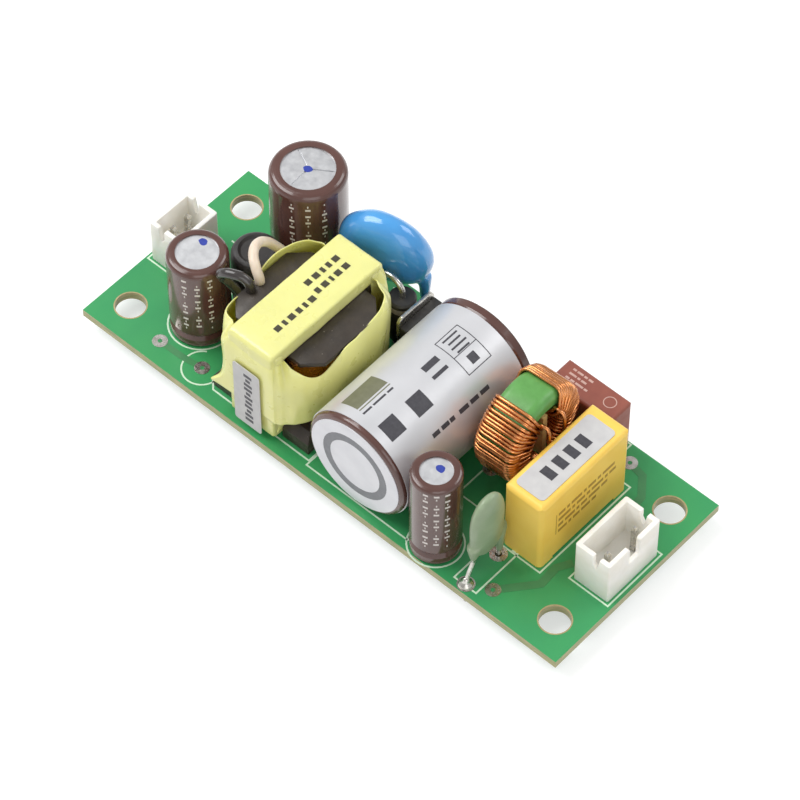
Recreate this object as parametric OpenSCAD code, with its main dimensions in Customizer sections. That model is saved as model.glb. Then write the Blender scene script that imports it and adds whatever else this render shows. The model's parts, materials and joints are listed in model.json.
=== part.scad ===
// Open frame AC-DC power supply on one printed circuit board.
// The origin is the centre of the four mounting holes, on the underside of the board.
// +X runs along the board towards the mains header, +Y to the rear long edge, +Z up.

/* [Board] */
// Length of the circuit board
board_l = 78.7; // [78.7:0.1:84]
// Width of the circuit board
board_w = 30.5; // [30.5:0.1:36]
// Thickness of the laminate
board_t = 1.2; // [1:0.1:1.6]
// Distance between the mounting holes along the board
hole_pitch_x = 70.7; // [70:0.1:72]
// Distance between the mounting holes across the board
hole_pitch_y = 21.4; // [21:0.1:22]
// Diameter of the mounting holes
hole_d = 4; // [3.2:0.1:4.2]
// How far the cut leads stand out below the board
tip_l = 2.2; // [2.1:0.1:3]

/* [Headers] */
// Depth of both header housings
header_d = 5.4; // [5.4:0.05:5.8]
// Height of both header housings
header_h = 7.3; // [6.5:0.1:8]
// Wall of both header housings
header_wall = 0.65; // [0.6:0.05:0.65]
// Width of the mains header housing
ac_header_w = 9.4; // [9.2:0.1:9.9]
// Distance between the two mains pins
ac_pin_pitch = 5; // [4.8:0.1:5.2]
// Width of the output header housing
dc_header_w = 6.9; // [6.7:0.1:7.4]
// Distance between the two output pins
dc_pin_pitch = 2.5; // [2.4:0.1:2.6]

/* [Transformer] */
// Length of the ferrite core
core_l = 19.6; // [19.4:0.1:19.8]
// Height of the two core halves together
core_h = 15.5; // [15.3:0.1:15.7]
// Thickness of the ferrite core
core_t = 6.8; // [6.4:0.1:6.9]
// Height of the insulating tape round the winding
wrap_h = 11; // [10:0.5:11.5]
// Reach of the winding tape to each side of the core's middle
wrap_reach = 8.3; // [8:0.1:8.4]

/* [Choke] */
// Outer radius of the toroidal core
toroid_ro = 6.6; // [6.5:0.05:6.7]
// Inner radius of the toroidal core
toroid_ri = 3.7; // [3.6:0.05:3.8]
// Thickness of the toroidal core
toroid_t = 5.4; // [5:0.1:5.5]
// Diameter of the enamelled wire
wire_d = 0.52; // [0.4:0.02:0.52]
// Turns in each of the two windings
choke_turns = 26; // [18:1:26]

/* [Capacitors] */
// Radius of the mains reservoir capacitor over its sleeve
bulk_r = 7.75; // [7.4:0.05:7.8]
// Length of the mains reservoir capacitor
bulk_l = 24.1; // [20:0.1:24.4]
// Length of the yellow film capacitor
film_l = 16.2; // [15:0.1:16.6]
// Thickness of the yellow film capacitor
film_t = 6; // [5:0.1:6.2]
// Height of the yellow film capacitor
film_h = 12.3; // [10:0.1:13]
// Radius of the blue disc capacitor
disc_r = 6.4; // [5.5:0.1:6.5]
// Thickness of the blue disc capacitor
disc_t = 4.9; // [4:0.1:5]

/* [Fuse] */
// Length of the fuse body
fuse_l = 10; // [8.5:0.1:10.2]
// Thickness of the fuse body
fuse_w = 4.1; // [3.8:0.1:4.3]
// Height of the fuse body
fuse_h = 8.5; // [7.5:0.1:9]

/* [Hidden] */

// ---- finish colours ----
pcb_green = "#3f9a5c";
tin = "#c9c9c4";
nylon = "#e6e4dd";
case_yellow = "#efc95f";
label_grey = "#c4c4c2";
sleeve_brown = "#5a3c35";
tape_yellow = "#e6e690";
ferrite = "#3a3531";
copper = "#c07a45";
moulding_black = "#2b2a29";

// ---- places, in the plan of the board ----
ac_header_at = [35.75, 0];
dc_header_at = [-35.95, 0];
film_at = [26.25, 1.6];
fuse_at = [20.2, 13.05];
thermistor_at = [24.1, -10.4];
disc_at = [-11.4, 11.0];
bulk_at = [6.25, 10];
choke_at = [18.4, 3.3];
transformer_at = [-10.95, -4.1];
inductor_at = [-24.05, 0.8];
diode_at = [-6.3, 8.3];
transistor_at = [-2.7, 8.1];

// ---- leads: each is [x, y, diameter] ----
lead_clearance = 0.3;
pin_sq = 0.64;
pin_round = pin_sq * sqrt(2);
header_pin_offset = 0.6;
// Two leads set a pitch apart about a centre, along X or along Y
function pair_x(c, pitch, d) = [for (s = [-1, 1]) [c[0] + s * pitch / 2, c[1], d]];
function pair_y(c, pitch, d) = [for (s = [-1, 1]) [c[0], c[1] + s * pitch / 2, d]];
function turned(p, a) = [p[0] * cos(a) - p[1] * sin(a), p[0] * sin(a) + p[1] * cos(a)];
ac_leads = pair_y(ac_header_at + [header_pin_offset, 0], ac_pin_pitch, pin_round);
dc_leads = pair_y(dc_header_at - [header_pin_offset, 0], dc_pin_pitch, pin_round);
film_leads = pair_y(film_at, 12.5, 0.8);
fuse_leads_at = pair_x(fuse_at, 5.08, 0.6);
thermistor_leads_at = [[24.07, -14, 0.6], [24.1, -8.1, 0.6]];
bulk_lead_pitch = 7.5;
bulk_lead_d = 0.8;
bulk_lead_bend = 1;
bulk_lead_out = 0.6;
bulk_leads = pair_x(bulk_at + [0, bulk_lead_out + bulk_lead_bend], bulk_lead_pitch, bulk_lead_d);
transformer_pin_d = 0.7;
transformer_pin_x = 5.95;
transformer_leads = [for (sx = [-1, 1], i = [-1.5 : 1.5])
    [transformer_at[0] + sx * transformer_pin_x, transformer_at[1] + i * 4, transformer_pin_d]];
choke_yaw = 3;
choke_lead_top = [4.5, 1.5];
choke_lead_low = [-3.4, 2.3];
choke_leads = [for (s = [-1, 1], p = [choke_lead_top, choke_lead_low])
    concat(choke_at + turned([p[0], s * p[1]], choke_yaw), wire_d)];
flying_wire_d = 0.8;
black_lead_end = [-21.4, -4.2];
white_lead_end = [-20, 4.8];
flying_leads = [concat(black_lead_end, flying_wire_d), concat(white_lead_end, flying_wire_d)];
inductor_leads = pair_y(inductor_at, 3.2, 0.7);
diode_lead_d = 0.8;
diode_bend = 1.9;
diode_leads = [concat(diode_at, diode_lead_d),
               [diode_at[0] - 2 * diode_bend, diode_at[1], diode_lead_d]];
transistor_pitch = 2.29;
transistor_leads = [for (i = [-1 : 1])
    [transistor_at[0], transistor_at[1] + i * transistor_pitch, pin_round]];
disc_yaw = 16;
disc_lean = 7.3;
disc_z = 11.8;
disc_lead_pitch = 10;
disc_lead_shift = [0, 0.45];
disc_leads = [for (s = [-1, 1])
    concat(disc_at + disc_lead_shift
        + s * disc_lead_pitch / 2 * [cos(disc_yaw), sin(disc_yaw)], 0.6)];

// ---- upright electrolytic capacitors: [x, y, radius, height, lead pitch] ----
supply_cap = [17.4, -12, 3.25, 15.2, 2.5];
output_cap = [-26.8, -6.7, 3.95, 14.4, 3.5];
filter_cap = [-23.06, 9.5, 5, 19, 5];
cap_lead_d = 0.6;
function cap_leads(c) = pair_y([c[0], c[1]], c[4], cap_lead_d);

all_leads = concat(ac_leads, dc_leads, film_leads, fuse_leads_at, thermistor_leads_at,
    bulk_leads, transformer_leads, choke_leads, flying_leads, inductor_leads,
    diode_leads, transistor_leads, disc_leads,
    cap_leads(supply_cap), cap_leads(output_cap), cap_leads(filter_cap));

// ================= shared shapes =================

// Lifts what stands on the component side to the top face of the board
module on_board() translate([0, 0, board_t]) children();

// Turns what hangs below the board so that it is drawn upwards from the laminate
module under_board() mirror([0, 0, 1]) children();

// Rectangle with round corners, centred
module round_rect(l, w, r) {
    square([l - 2 * r, w], center = true);
    square([l, w - 2 * r], center = true);
    for (x = [-1, 1], y = [-1, 1])
        translate([x * (l / 2 - r), y * (w / 2 - r)]) circle(r, $fn = 32);
}

// Upright outline with a flat foot and round top corners
module arch_rect(l, h, r) {
    translate([-l / 2, 0]) square([l, h - r]);
    translate([-l / 2 + r, 0]) square([l - 2 * r, h]);
    for (x = [-1, 1]) translate([x * (l / 2 - r), h - r]) circle(r, $fn = 32);
}

// Moulded block: upright and top edges are round, the foot is sharp
module soft_block(l, w, h, r) {
    intersection() {
        linear_extrude(h) round_rect(l, w, r);
        rotate([90, 0, 0]) linear_extrude(w + 1, center = true) arch_rect(l, h, r);
        rotate([90, 0, 90]) linear_extrude(l + 1, center = true) arch_rect(w, h, r);
    }
}

// Straight round leads from a height above the board down to the cut tips
module straight_leads(list, top) {
    for (p = list)
        translate([p[0], p[1], -tip_l])
            cylinder(d = p[2], h = tip_l + board_t + top, $fn = 24);
}

// Points along an arc in a plane
function arc(cx, cy, r, from, to, n) =
    [for (i = [0 : n]) let (a = from + (to - from) * i / n) [cx + r * cos(a), cy + r * sin(a)]];

function unit(v) = v / norm(v);
function ahead(p, i) = unit(p[min(i + 1, len(p) - 1)] - p[max(i - 1, 0)]);

// Round tube along a list of points; aside gives a direction across the tube at each point
module tube(path, aside, r, sides) {
    n = len(path);
    points = [for (i = [0 : n - 1])
        let (t = ahead(path, i), a = unit(cross(t, aside[i])), b = cross(a, t))
        for (k = [0 : sides - 1])
            path[i] + r * (cos(360 * k / sides) * a + sin(360 * k / sides) * b)];
    walls = [for (i = [0 : n - 2], k = [0 : sides - 1])
        let (q = (k + 1) % sides)
        [i * sides + k, i * sides + q, (i + 1) * sides + q, (i + 1) * sides + k]];
    ends = [[for (k = [sides - 1 : -1 : 0]) k], [for (k = [0 : sides - 1]) (n - 1) * sides + k]];
    polyhedron(points, concat(walls, ends), convexity = 10);
}

// Smooth curve through hand-placed points
function spline_at(a, b, c, d, t) =
    0.5 * (2 * b + (c - a) * t + (2 * a - 5 * b + 4 * c - d) * t * t
        + (3 * b - a - 3 * c + d) * t * t * t);
function spline(p, steps) = concat(
    [for (i = [0 : len(p) - 2], s = [0 : steps - 1])
        spline_at(p[max(i - 1, 0)], p[i], p[i + 1], p[min(i + 2, len(p) - 1)], s / steps)],
    [p[len(p) - 1]]);

// ================= board =================

module board() {
    color(pcb_green)
        linear_extrude(board_t)
            difference() {
                square([board_l, board_w], center = true);
                for (x = [-1, 1], y = [-1, 1])
                    translate([x * hole_pitch_x / 2, y * hole_pitch_y / 2])
                        circle(d = hole_d, $fn = 64);
                for (p = all_leads)
                    translate([p[0], p[1]]) circle(d = p[2] + lead_clearance, $fn = 24);
            }
}

// Cone of solder round each lead on the underside
module solder_joints() {
    foot = 0.6;
    rise = 1.1;
    color(tin)
        under_board()
            for (p = all_leads)
                translate([p[0], p[1], 0])
                    rotate_extrude($fn = 24)
                        polygon([[p[2] / 2, 0], [p[2] / 2 + foot, 0],
                                 [p[2] / 2 + foot * 0.35, rise * 0.4], [p[2] / 2, rise]]);
}

// ================= headers =================

// Outline of a key slot cut down from the top edge, with its mouth rounded
module key_slot(w, depth) {
    lip = 0.35;
    difference() {
        translate([-w / 2 - lip, -lip]) square([w + 2 * lip, lip + 1]);
        for (s = [-1, 1]) translate([s * (w / 2 + lip), -lip]) circle(lip, $fn = 32);
    }
    translate([-w / 2, -depth]) square([w, depth + 1]);
}

// Outline of a narrow notch that runs to a point
module pointed_notch(w, depth) {
    straight = 0.65;
    polygon([[-w / 2, 1], [-w / 2, -depth * straight], [0, -depth], [w / 4, -depth * straight],
             [w / 2, 0], [w / 2, 1]]);
}

// Open-topped housing: a floor and four walls, with a pointed notch in each end wall in
// line with the pins, and a key slot in the middle of the wall that faces +X.
module header_housing(w, pitch, slot_w) {
    floor_t = 1.6;
    edge = 0.3;
    cavity = [header_d - 2 * header_wall, w - 2 * header_wall];
    difference() {
        linear_extrude(header_h) round_rect(header_d, w, edge);
        translate([-cavity[0] / 2, -cavity[1] / 2, floor_t])
            cube([cavity[0], cavity[1], header_h]);
        translate([header_pin_offset, 0, header_h])
            rotate([90, 0, 0]) linear_extrude(w + 1, center = true) pointed_notch(1, 2.3);
        if (slot_w > 0)
            translate([cavity[0] / 2 - 0.1, 0, header_h])
                rotate([90, 0, 90]) linear_extrude(header_wall + 1) key_slot(slot_w, 3.2);
        for (s = [-1, 1])
            translate([header_pin_offset, s * pitch / 2, -1])
                linear_extrude(floor_t + 2) square(pin_sq, center = true);
    }
}

// Square post with a pointed tip at each end
module header_pin(x, y) {
    above = 6.2;
    point = 0.4;
    shaft = tip_l + board_t + above;
    translate([x, y, -tip_l]) {
        intersection() {
            translate([-pin_sq / 2, -pin_sq / 2, 0]) cube([pin_sq, pin_sq, shaft]);
            rotate([90, 0, 0]) linear_extrude(2, center = true) pin_profile(shaft, point);
            rotate([90, 0, 90]) linear_extrude(2, center = true) pin_profile(shaft, point);
        }
    }
}

module pin_profile(h, point) {
    inner = pin_sq / 2 * 0.45;
    outer = pin_sq / 2;
    polygon([[-inner, 0], [inner, 0], [outer, point], [outer, h - point], [inner, h],
             [-inner, h], [-outer, h - point], [-outer, point]]);
}

module ac_header_housing() {
    color(nylon)
        on_board() translate(ac_header_at) header_housing(ac_header_w, ac_pin_pitch, 1.9);
}

module ac_header_pins() {
    color(tin) for (p = ac_leads) header_pin(p[0], p[1]);
}

module dc_header_housing() {
    color(nylon)
        on_board()
            translate(dc_header_at)
                rotate([0, 0, 180]) header_housing(dc_header_w, dc_pin_pitch, 0);
}

module dc_header_pins() {
    color(tin) for (p = dc_leads) header_pin(p[0], p[1]);
}

// ================= film capacitor, fuse =================

module film_capacitor_case() {
    foot = 0.35;
    foot_l = 2.4;
    color(case_yellow)
        on_board() translate(film_at)
            difference() {
                soft_block(film_t, film_l, film_h, 0.7);
                translate([-film_t / 2 - 1, -film_l / 2 + foot_l, -1])
                    cube([film_t + 2, film_l - 2 * foot_l, foot + 1]);
            }
}

module film_capacitor_label() {
    color(label_grey)
        on_board() translate([film_at[0], film_at[1] - 0.3, film_h])
            linear_extrude(0.1) round_rect(film_t - 1.6, film_l - 2.6, 0.6);
}

module film_capacitor_leads() color(tin) straight_leads(film_leads, 0);

module fuse_case() {
    color("#87493b")
        on_board() translate(fuse_at) soft_block(fuse_l, fuse_w, fuse_h, 0.45);
}

module fuse_leads() color(tin) straight_leads(fuse_leads_at, 0);

// ================= thermistor =================

thermistor_w = 5.8;
thermistor_h = 11;
thermistor_t = 2.6;
thermistor_z = 8.9;
front_skirt_z = 4;
rear_skirt_z = 1;
thermistor_pitch = 4.7;

module thermistor_disc() {
    front_y = thermistor_at[1] - thermistor_pitch / 2;
    rear_y = thermistor_at[1] + thermistor_pitch / 2;
    color("#7d8f6e")
        on_board() {
            translate([thermistor_at[0], thermistor_at[1], thermistor_z])
                scale([thermistor_t / thermistor_w, 1, 1])
                    rotate_extrude($fn = 36) polygon(drop_profile(thermistor_w / 2, thermistor_h / 2, 12));
            thermistor_skirt(front_y, front_skirt_z, 6.6);
            thermistor_skirt(rear_y, rear_skirt_z, 6.6);
        }
}

// Half outline of the dipped body: an ellipse with fuller ends
function drop_profile(r, half_h, n) =
    [for (i = [0 : n]) let (a = -90 + 180 * i / n)
        [r * pow(abs(cos(a)), 0.8), half_h * sign(a) * pow(abs(sin(a)), 0.8)]];

// Dipped coating that runs down a lead
module thermistor_skirt(y, low, high) {
    translate([thermistor_at[0], y, low])
        cylinder(r1 = 0.45, r2 = 0.95, h = high - low, $fn = 24);
}

// The front lead leaves the coating straight down, then slants forward to its hole
module thermistor_leads() {
    front = thermistor_leads_at[0];
    rear = thermistor_leads_at[1];
    front_y = thermistor_at[1] - thermistor_pitch / 2;
    route = [[front[0], front[1], -tip_l], [front[0], front[1], board_t - 0.2],
             [front[0], front[1], board_t + 0.7],
             [front[0], (front[1] + front_y) / 2, board_t + 2.1],
             [thermistor_at[0], front_y, board_t + front_skirt_z - 0.5]];
    path = concat(spline(route, 3), [[thermistor_at[0], front_y, board_t + front_skirt_z]]);
    color(tin) {
        tube(path, [for (p = path) [1, 0, 0]], front[2] / 2, 10);
        translate([rear[0], rear[1], -tip_l])
            cylinder(d = rear[2], h = tip_l + board_t + rear_skirt_z, $fn = 24);
    }
}

// ================= disc capacitor =================

// Half outline of a coated ceramic disc: flat in the middle, full at the rim
function lens_profile(r, t, n) =
    [for (i = [0 : n]) let (a = -90 + 180 * i / n)
        [r * pow(abs(cos(a)), 0.5), t / 2 * sin(a)]];

module disc_capacitor_body() {
    skirt_low = 2.5;
    skirt_high = disc_z - disc_r * 0.5;
    color("#3f86c4")
        on_board() {
            translate([disc_at[0], disc_at[1], disc_z])
                rotate([disc_lean, 0, disc_yaw])
                    rotate([90, 0, 0])
                        rotate_extrude($fn = 64) polygon(lens_profile(disc_r, disc_t, 14));
            for (p = disc_leads)
                translate([p[0], p[1], skirt_low])
                    cylinder(r1 = 0.5, r2 = 1, h = skirt_high - skirt_low, $fn = 24);
        }
}

module disc_capacitor_leads() color(tin) straight_leads(disc_leads, 2.5);

// ================= electrolytic capacitors =================

sleeve_t = 0.2;
bead_z = 1.9;
bead_depth = 0.3;
bung_t = 1.4;
// Radius of the sleeve's opening over the top of the can, as a share of the radius
small_mouth = 0.64;
wide_mouth = 0.7;

// Outline of the round shoulder and the crimp groove, at a distance inside the sleeve
function can_side(r, h, edge) = concat(
    [[r, 0.35], [r, bead_z - 0.6], [r - bead_depth, bead_z], [r, bead_z + 0.6]],
    arc(r - edge, h - edge, edge, 0, 90, 5));

// Aluminium can with its wound element, open below for the bung
module cap_can(r, h, edge) {
    rc = r - sleeve_t;
    hc = h - sleeve_t;
    rotate_extrude($fn = 64)
        polygon(concat([[0, bung_t], [rc - 0.35, bung_t], [rc - 0.35, 0.35]],
            can_side(rc, hc, edge - sleeve_t), [[0, hc]]));
}

// Three grooves pressed into the top of a can, where it bursts open under pressure
module vent_scores(reach, h) {
    w = 0.25;
    depth = 0.12;
    for (i = [0 : 2])
        rotate([0, 0, 33.7 + 120 * i])
            translate([0, -w / 2, h - sleeve_t - depth]) cube([reach, w, depth + 1]);
}

// Shrunk sleeve: follows the can and turns in over its top edge
module cap_sleeve(r, h, edge, mouth) {
    rc = r - sleeve_t;
    outer = can_side(r, h, edge);
    inner = can_side(rc, h - sleeve_t, edge - sleeve_t);
    rotate_extrude($fn = 64)
        polygon(concat(outer, [[mouth, h], [mouth, h - sleeve_t]],
            [for (i = [len(inner) - 1 : -1 : 0]) inner[i]]));
}

// Rubber seal, which stands a little proud of the can
module cap_bung(r, pitch, lead_d) {
    difference() {
        cylinder(r = r - sleeve_t - 0.35, h = bung_t, $fn = 64);
        for (s = [-1, 1])
            translate([0, s * pitch / 2, -1]) cylinder(d = lead_d, h = 5, $fn = 24);
    }
}

// One upright capacitor's pieces, placed on the board
module upright(c) on_board() translate([c[0], c[1], 0]) children();
function shoulder(c) = 0.2 * c[2];

module upright_can(c) color(tin) upright(c) cap_can(c[2], c[3], shoulder(c));
module upright_sleeve(c, mouth)
    color(sleeve_brown) upright(c) cap_sleeve(c[2], c[3], shoulder(c), c[2] * mouth);
module upright_bung(c) color(moulding_black) upright(c) cap_bung(c[2], c[4], cap_lead_d);
module upright_leads(c) color(tin) straight_leads(cap_leads(c), bung_t);

module supply_capacitor_can() upright_can(supply_cap);
module supply_capacitor_sleeve() upright_sleeve(supply_cap, small_mouth);
module supply_capacitor_bung() upright_bung(supply_cap);
module supply_capacitor_leads() upright_leads(supply_cap);

module output_capacitor_can() upright_can(output_cap);
module output_capacitor_sleeve() upright_sleeve(output_cap, wide_mouth);
module output_capacitor_bung() upright_bung(output_cap);
module output_capacitor_leads() upright_leads(output_cap);

module filter_capacitor_can()
    color(tin)
        upright(filter_cap)
            difference() {
                cap_can(filter_cap[2], filter_cap[3], shoulder(filter_cap));
                vent_scores(filter_cap[2] * wide_mouth * 0.95, filter_cap[3]);
            }
module filter_capacitor_sleeve() upright_sleeve(filter_cap, wide_mouth);
module filter_capacitor_bung() upright_bung(filter_cap);
module filter_capacitor_leads() upright_leads(filter_cap);

// ---- reservoir capacitor, lying along Y with its bung to the rear ----
bulk_z = bulk_r + 0.1;
bulk_edge = 0.7;
bulk_mouth = bulk_r - 0.65;

module lying() on_board() translate([bulk_at[0], bulk_at[1], bulk_z]) rotate([90, 0, 0]) children();

module bulk_capacitor_can() color(tin) lying() cap_can(bulk_r, bulk_l, bulk_edge);
module bulk_capacitor_sleeve()
    color(sleeve_brown) lying() cap_sleeve(bulk_r, bulk_l, bulk_edge, bulk_mouth);
module bulk_capacitor_bung()
    color(moulding_black)
        lying() rotate([0, 0, 90]) cap_bung(bulk_r, bulk_lead_pitch, bulk_lead_d);

// Each lead leaves the bung, turns down through a bend and passes the board
module bulk_capacitor_leads() {
    z = board_t + bulk_z;
    color(tin)
        for (p = bulk_leads) {
            translate([p[0], bulk_at[1] - bung_t, z])
                rotate([-90, 0, 0])
                    cylinder(d = bulk_lead_d, h = bung_t + bulk_lead_out, $fn = 24);
            translate([p[0], p[1] - bulk_lead_bend, z - bulk_lead_bend])
                rotate([90, 0, 90])
                    rotate_extrude(angle = 90, $fn = 32)
                        translate([bulk_lead_bend, 0]) circle(d = bulk_lead_d, $fn = 24);
            translate([p[0], p[1], -tip_l])
                cylinder(d = bulk_lead_d, h = tip_l + z - bulk_lead_bend, $fn = 24);
        }
}

module bulk_capacitor_label() {
    rear = 1.7;
    front = 0.75;
    color(label_grey)
        lying()
            translate([0, 0, rear])
                difference() {
                    cylinder(r = bulk_r + 0.1, h = bulk_l - rear - front, $fn = 64);
                    translate([0, 0, -1]) cylinder(r = bulk_r, h = bulk_l, $fn = 64);
                }
}

module bulk_capacitor_end_label() {
    color("#dcdcda")
        lying()
            translate([0, 0, bulk_l - sleeve_t]) cylinder(r = bulk_mouth - 0.05, h = 0.3, $fn = 64);
}

// ================= common-mode choke =================

choke_z = 9.9;
toroid_edge = 1.1;
winding_gap = 20;
wire_sides = 6;

// Stands the toroid on its rim: its axis runs along X
module choke_place()
    on_board()
        translate([choke_at[0], choke_at[1], choke_z]) rotate([0, 0, choke_yaw]) children();

module choke_core() {
    color("#5b9a4d")
        choke_place()
            rotate([0, 90, 0])
                rotate_extrude($fn = 96)
                    translate([(toroid_ro + toroid_ri) / 2, 0])
                        round_rect(toroid_ro - toroid_ri, toroid_t, toroid_edge);
}

// One turn's outline round the core's section, as [radius, height along the axis]. Every
// second turn lies in a second layer on the bore side, because the bore is crowded.
wire_edge = 0.8;
bend = wire_edge + wire_d / 2;
function turn_point(k, layer) =
    let (corner = floor(k / 3) % 4,
         a = corner * 90 + (k % 3) * 45,
         out = corner == 0 || corner == 3,
         push = out ? 0 : layer * wire_d,
         rho = out ? toroid_ro - wire_edge : toroid_ri + wire_edge - push,
         lift = toroid_t / 2 - wire_edge + push,
         up = corner < 2 ? 1 : -1)
    [rho + bend * cos(a), up * lift + bend * sin(a)];

// Point on the winding after a number of corner points, in the choke's own axes
function wire_point(i, from, to, last) =
    let (layer = floor((i + 1) / 12) % 2,
         p = turn_point(i % 12, layer),
         a = from + (to - from) * i / last)
    [p[1], p[0] * cos(a), p[0] * sin(a)];

// Direction from the middle of the core's section to the wire, across the wire
function wire_aside(i, from, to, last) =
    let (a = from + (to - from) * i / last) [0, -sin(a), cos(a)];

// side is -1 for the front winding and 1 for the rear one
module choke_winding(side) {
    from = side < 0 ? 90 + winding_gap : 90 - winding_gap;
    to = side < 0 ? 270 - winding_gap : -90 + winding_gap;
    first = 3;
    last = choke_turns * 12 - 3;
    turns = [for (i = [first : last]) wire_point(i, from, to, last)];
    aside = [for (i = [first : last]) wire_aside(i, from, to, last)];
    floor_z = -choke_z - board_t - tip_l;
    top_x = choke_lead_top[0];
    top_y = side * choke_lead_top[1];
    low_x = choke_lead_low[0];
    low_y = side * choke_lead_low[1];
    start = turns[0];
    end = turns[len(turns) - 1];
    lead_in = [[top_x, top_y, floor_z], [top_x, top_y, -choke_z + 1], [top_x, top_y, 2],
               [top_x, top_y, start[2] - 0.9], [top_x - 0.25, top_y, start[2] - 0.25]];
    lead_out = [[low_x - 0.1, end[1], end[2] - 0.7], [low_x, low_y, end[2] - 1.6],
                [low_x, low_y, -choke_z + 1], [low_x, low_y, floor_z]];
    tube(concat(lead_in, turns, lead_out),
         concat([for (p = lead_in) [0, 1, 0]], aside, [for (p = lead_out) [0, 1, 0]]),
         wire_d / 2, wire_sides);
}

module choke_front_winding() color(copper) choke_place() choke_winding(-1);
module choke_back_winding() color(copper) choke_place() choke_winding(1);

// Fibre plate across the bore that keeps the two windings apart
module choke_divider() {
    plate = [toroid_t, 0.8, 2 * toroid_ri];
    color("#c9a66b")
        choke_place()
            intersection() {
                cube(plate, center = true);
                rotate([0, 90, 0]) cylinder(r = toroid_ri, h = toroid_t + 1, center = true, $fn = 96);
            }
}

// ================= transformer =================

core_z = 1.05;
core_back = 2.05;
core_leg = 2.4;
core_middle = 4.8;
core_gap = 0.3;
tape_t = 0.35;
fold_t = 0.2;
wrap_t = 0.4;
wrap_z = 4.4;
flange_t = 0.75;
flange_l = 13.6;
flange_w = 15;
barrel_wall = 0.8;
barrel_play = 0.1;
rail_w = 4.3;
rail_l = 17.2;
rail_h = 3;
window_h = core_h - 2 * core_back;
bobbin_low = core_z + core_back;
bobbin_high = core_z + core_h - core_back;
barrel = [core_t + 2 * (barrel_play + barrel_wall), core_middle + 2 * (barrel_play + barrel_wall)];

module transformer_place()
    on_board() translate([transformer_at[0], transformer_at[1], 0]) children();

// Half of an E core, its back at z = 0 and its legs upright
module e_core() {
    half = core_h / 2;
    edge = 0.3;
    rotate([90, 0, 90])
        linear_extrude(core_t, center = true)
            difference() {
                translate([-core_l / 2, 0]) square([core_l, half]);
                for (s = [-1, 1])
                    translate([s * (core_middle + core_l - 2 * core_leg) / 4 - window_w() / 2, core_back])
                        square([window_w(), half]);
                translate([-core_middle / 2, half - core_gap / 2]) square([core_middle, 1]);
                for (s = [-1, 1])
                    translate([s * core_l / 2, 0]) rotate(45) square(edge * sqrt(2), center = true);
            }
}
function window_w() = (core_l - 2 * core_leg - core_middle) / 2;

module transformer_lower_core()
    color(ferrite) transformer_place() translate([0, 0, core_z]) e_core();

module transformer_upper_core()
    color(ferrite) transformer_place() translate([0, 0, core_z + core_h]) mirror([0, 0, 1]) e_core();

// Flange outline: a rectangle with its corners cut off
module flange_outline() {
    cut = 2.2;
    x = flange_w / 2;
    y = flange_l / 2;
    polygon([[-x + cut, -y], [x - cut, -y], [x, -y + cut], [x, y - cut], [x - cut, y],
             [-x + cut, y], [-x, y - cut], [-x, -y + cut]]);
}

// Rail that holds the pins: its upper outer edge and its ends are bevelled
module pin_rail() {
    bevel = 1.1;
    intersection() {
        rotate([90, 0, 0])
            linear_extrude(rail_l, center = true)
                polygon([[-rail_w / 2, 0], [rail_w / 2, 0], [rail_w / 2, rail_h - bevel],
                         [rail_w / 2 - bevel * 0.6, rail_h], [-rail_w / 2, rail_h]]);
        rotate([90, 0, 90])
            linear_extrude(rail_w + 1, center = true)
                polygon([[-rail_l / 2, 0], [rail_l / 2, 0], [rail_l / 2, rail_h - bevel],
                         [rail_l / 2 - bevel, rail_h], [-rail_l / 2 + bevel, rail_h],
                         [-rail_l / 2, rail_h - bevel]]);
    }
}

module transformer_bobbin() {
    rail_x = core_t / 2 + 0.3 + rail_w / 2;
    color(moulding_black)
        transformer_place()
            difference() {
                union() {
                    translate([0, 0, bobbin_low]) linear_extrude(flange_t) flange_outline();
                    translate([0, 0, bobbin_high - flange_t]) linear_extrude(flange_t) flange_outline();
                    translate([-barrel[0] / 2, -barrel[1] / 2, bobbin_low])
                        cube([barrel[0], barrel[1], window_h]);
                    translate([rail_x, 0, 0]) pin_rail();
                    translate([-rail_x, 0, 0]) mirror([1, 0, 0]) pin_rail();
                    for (s = [-1, 1])
                        translate([s * rail_x - 1.5, -flange_l / 2 + 1.7, rail_h - 0.5])
                            cube([3, flange_l - 3.4, bobbin_low - rail_h + 0.6]);
                }
                translate([-core_t / 2 - barrel_play, -core_middle / 2 - barrel_play, 0])
                    cube([core_t + 2 * barrel_play, core_middle + 2 * barrel_play, core_h + 2]);
                for (p = transformer_leads)
                    translate([p[0] - transformer_at[0], p[1] - transformer_at[1], -1])
                        cylinder(d = transformer_pin_d, h = 3, $fn = 24);
            }
}

module transformer_pins() color(tin) straight_leads(transformer_leads, 2);

// Outline of the winding and its tape: flat at both ends, bulging at the sides
function bulge(end_w, reach, half_l, n) = concat(
    [for (i = [-n : n]) let (t = i / n)
        [end_w + (reach - end_w) * (1 - pow(abs(t), 3.4)), half_l * t]],
    [for (i = [n : -1 : -n]) let (t = i / n)
        [-end_w - (reach - end_w) * (1 - pow(abs(t), 3.4)), half_l * t]]);

module transformer_winding() {
    coil_l = core_l - 2 * core_leg - 0.6;
    z0 = bobbin_low + flange_t;
    color(copper)
        transformer_place()
            translate([0, 0, z0])
                linear_extrude(window_h - 2 * flange_t)
                    difference() {
                        polygon(bulge(4.6, wrap_reach - 1.2, coil_l / 2, 10));
                        square(barrel, center = true);
                    }
}

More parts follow.
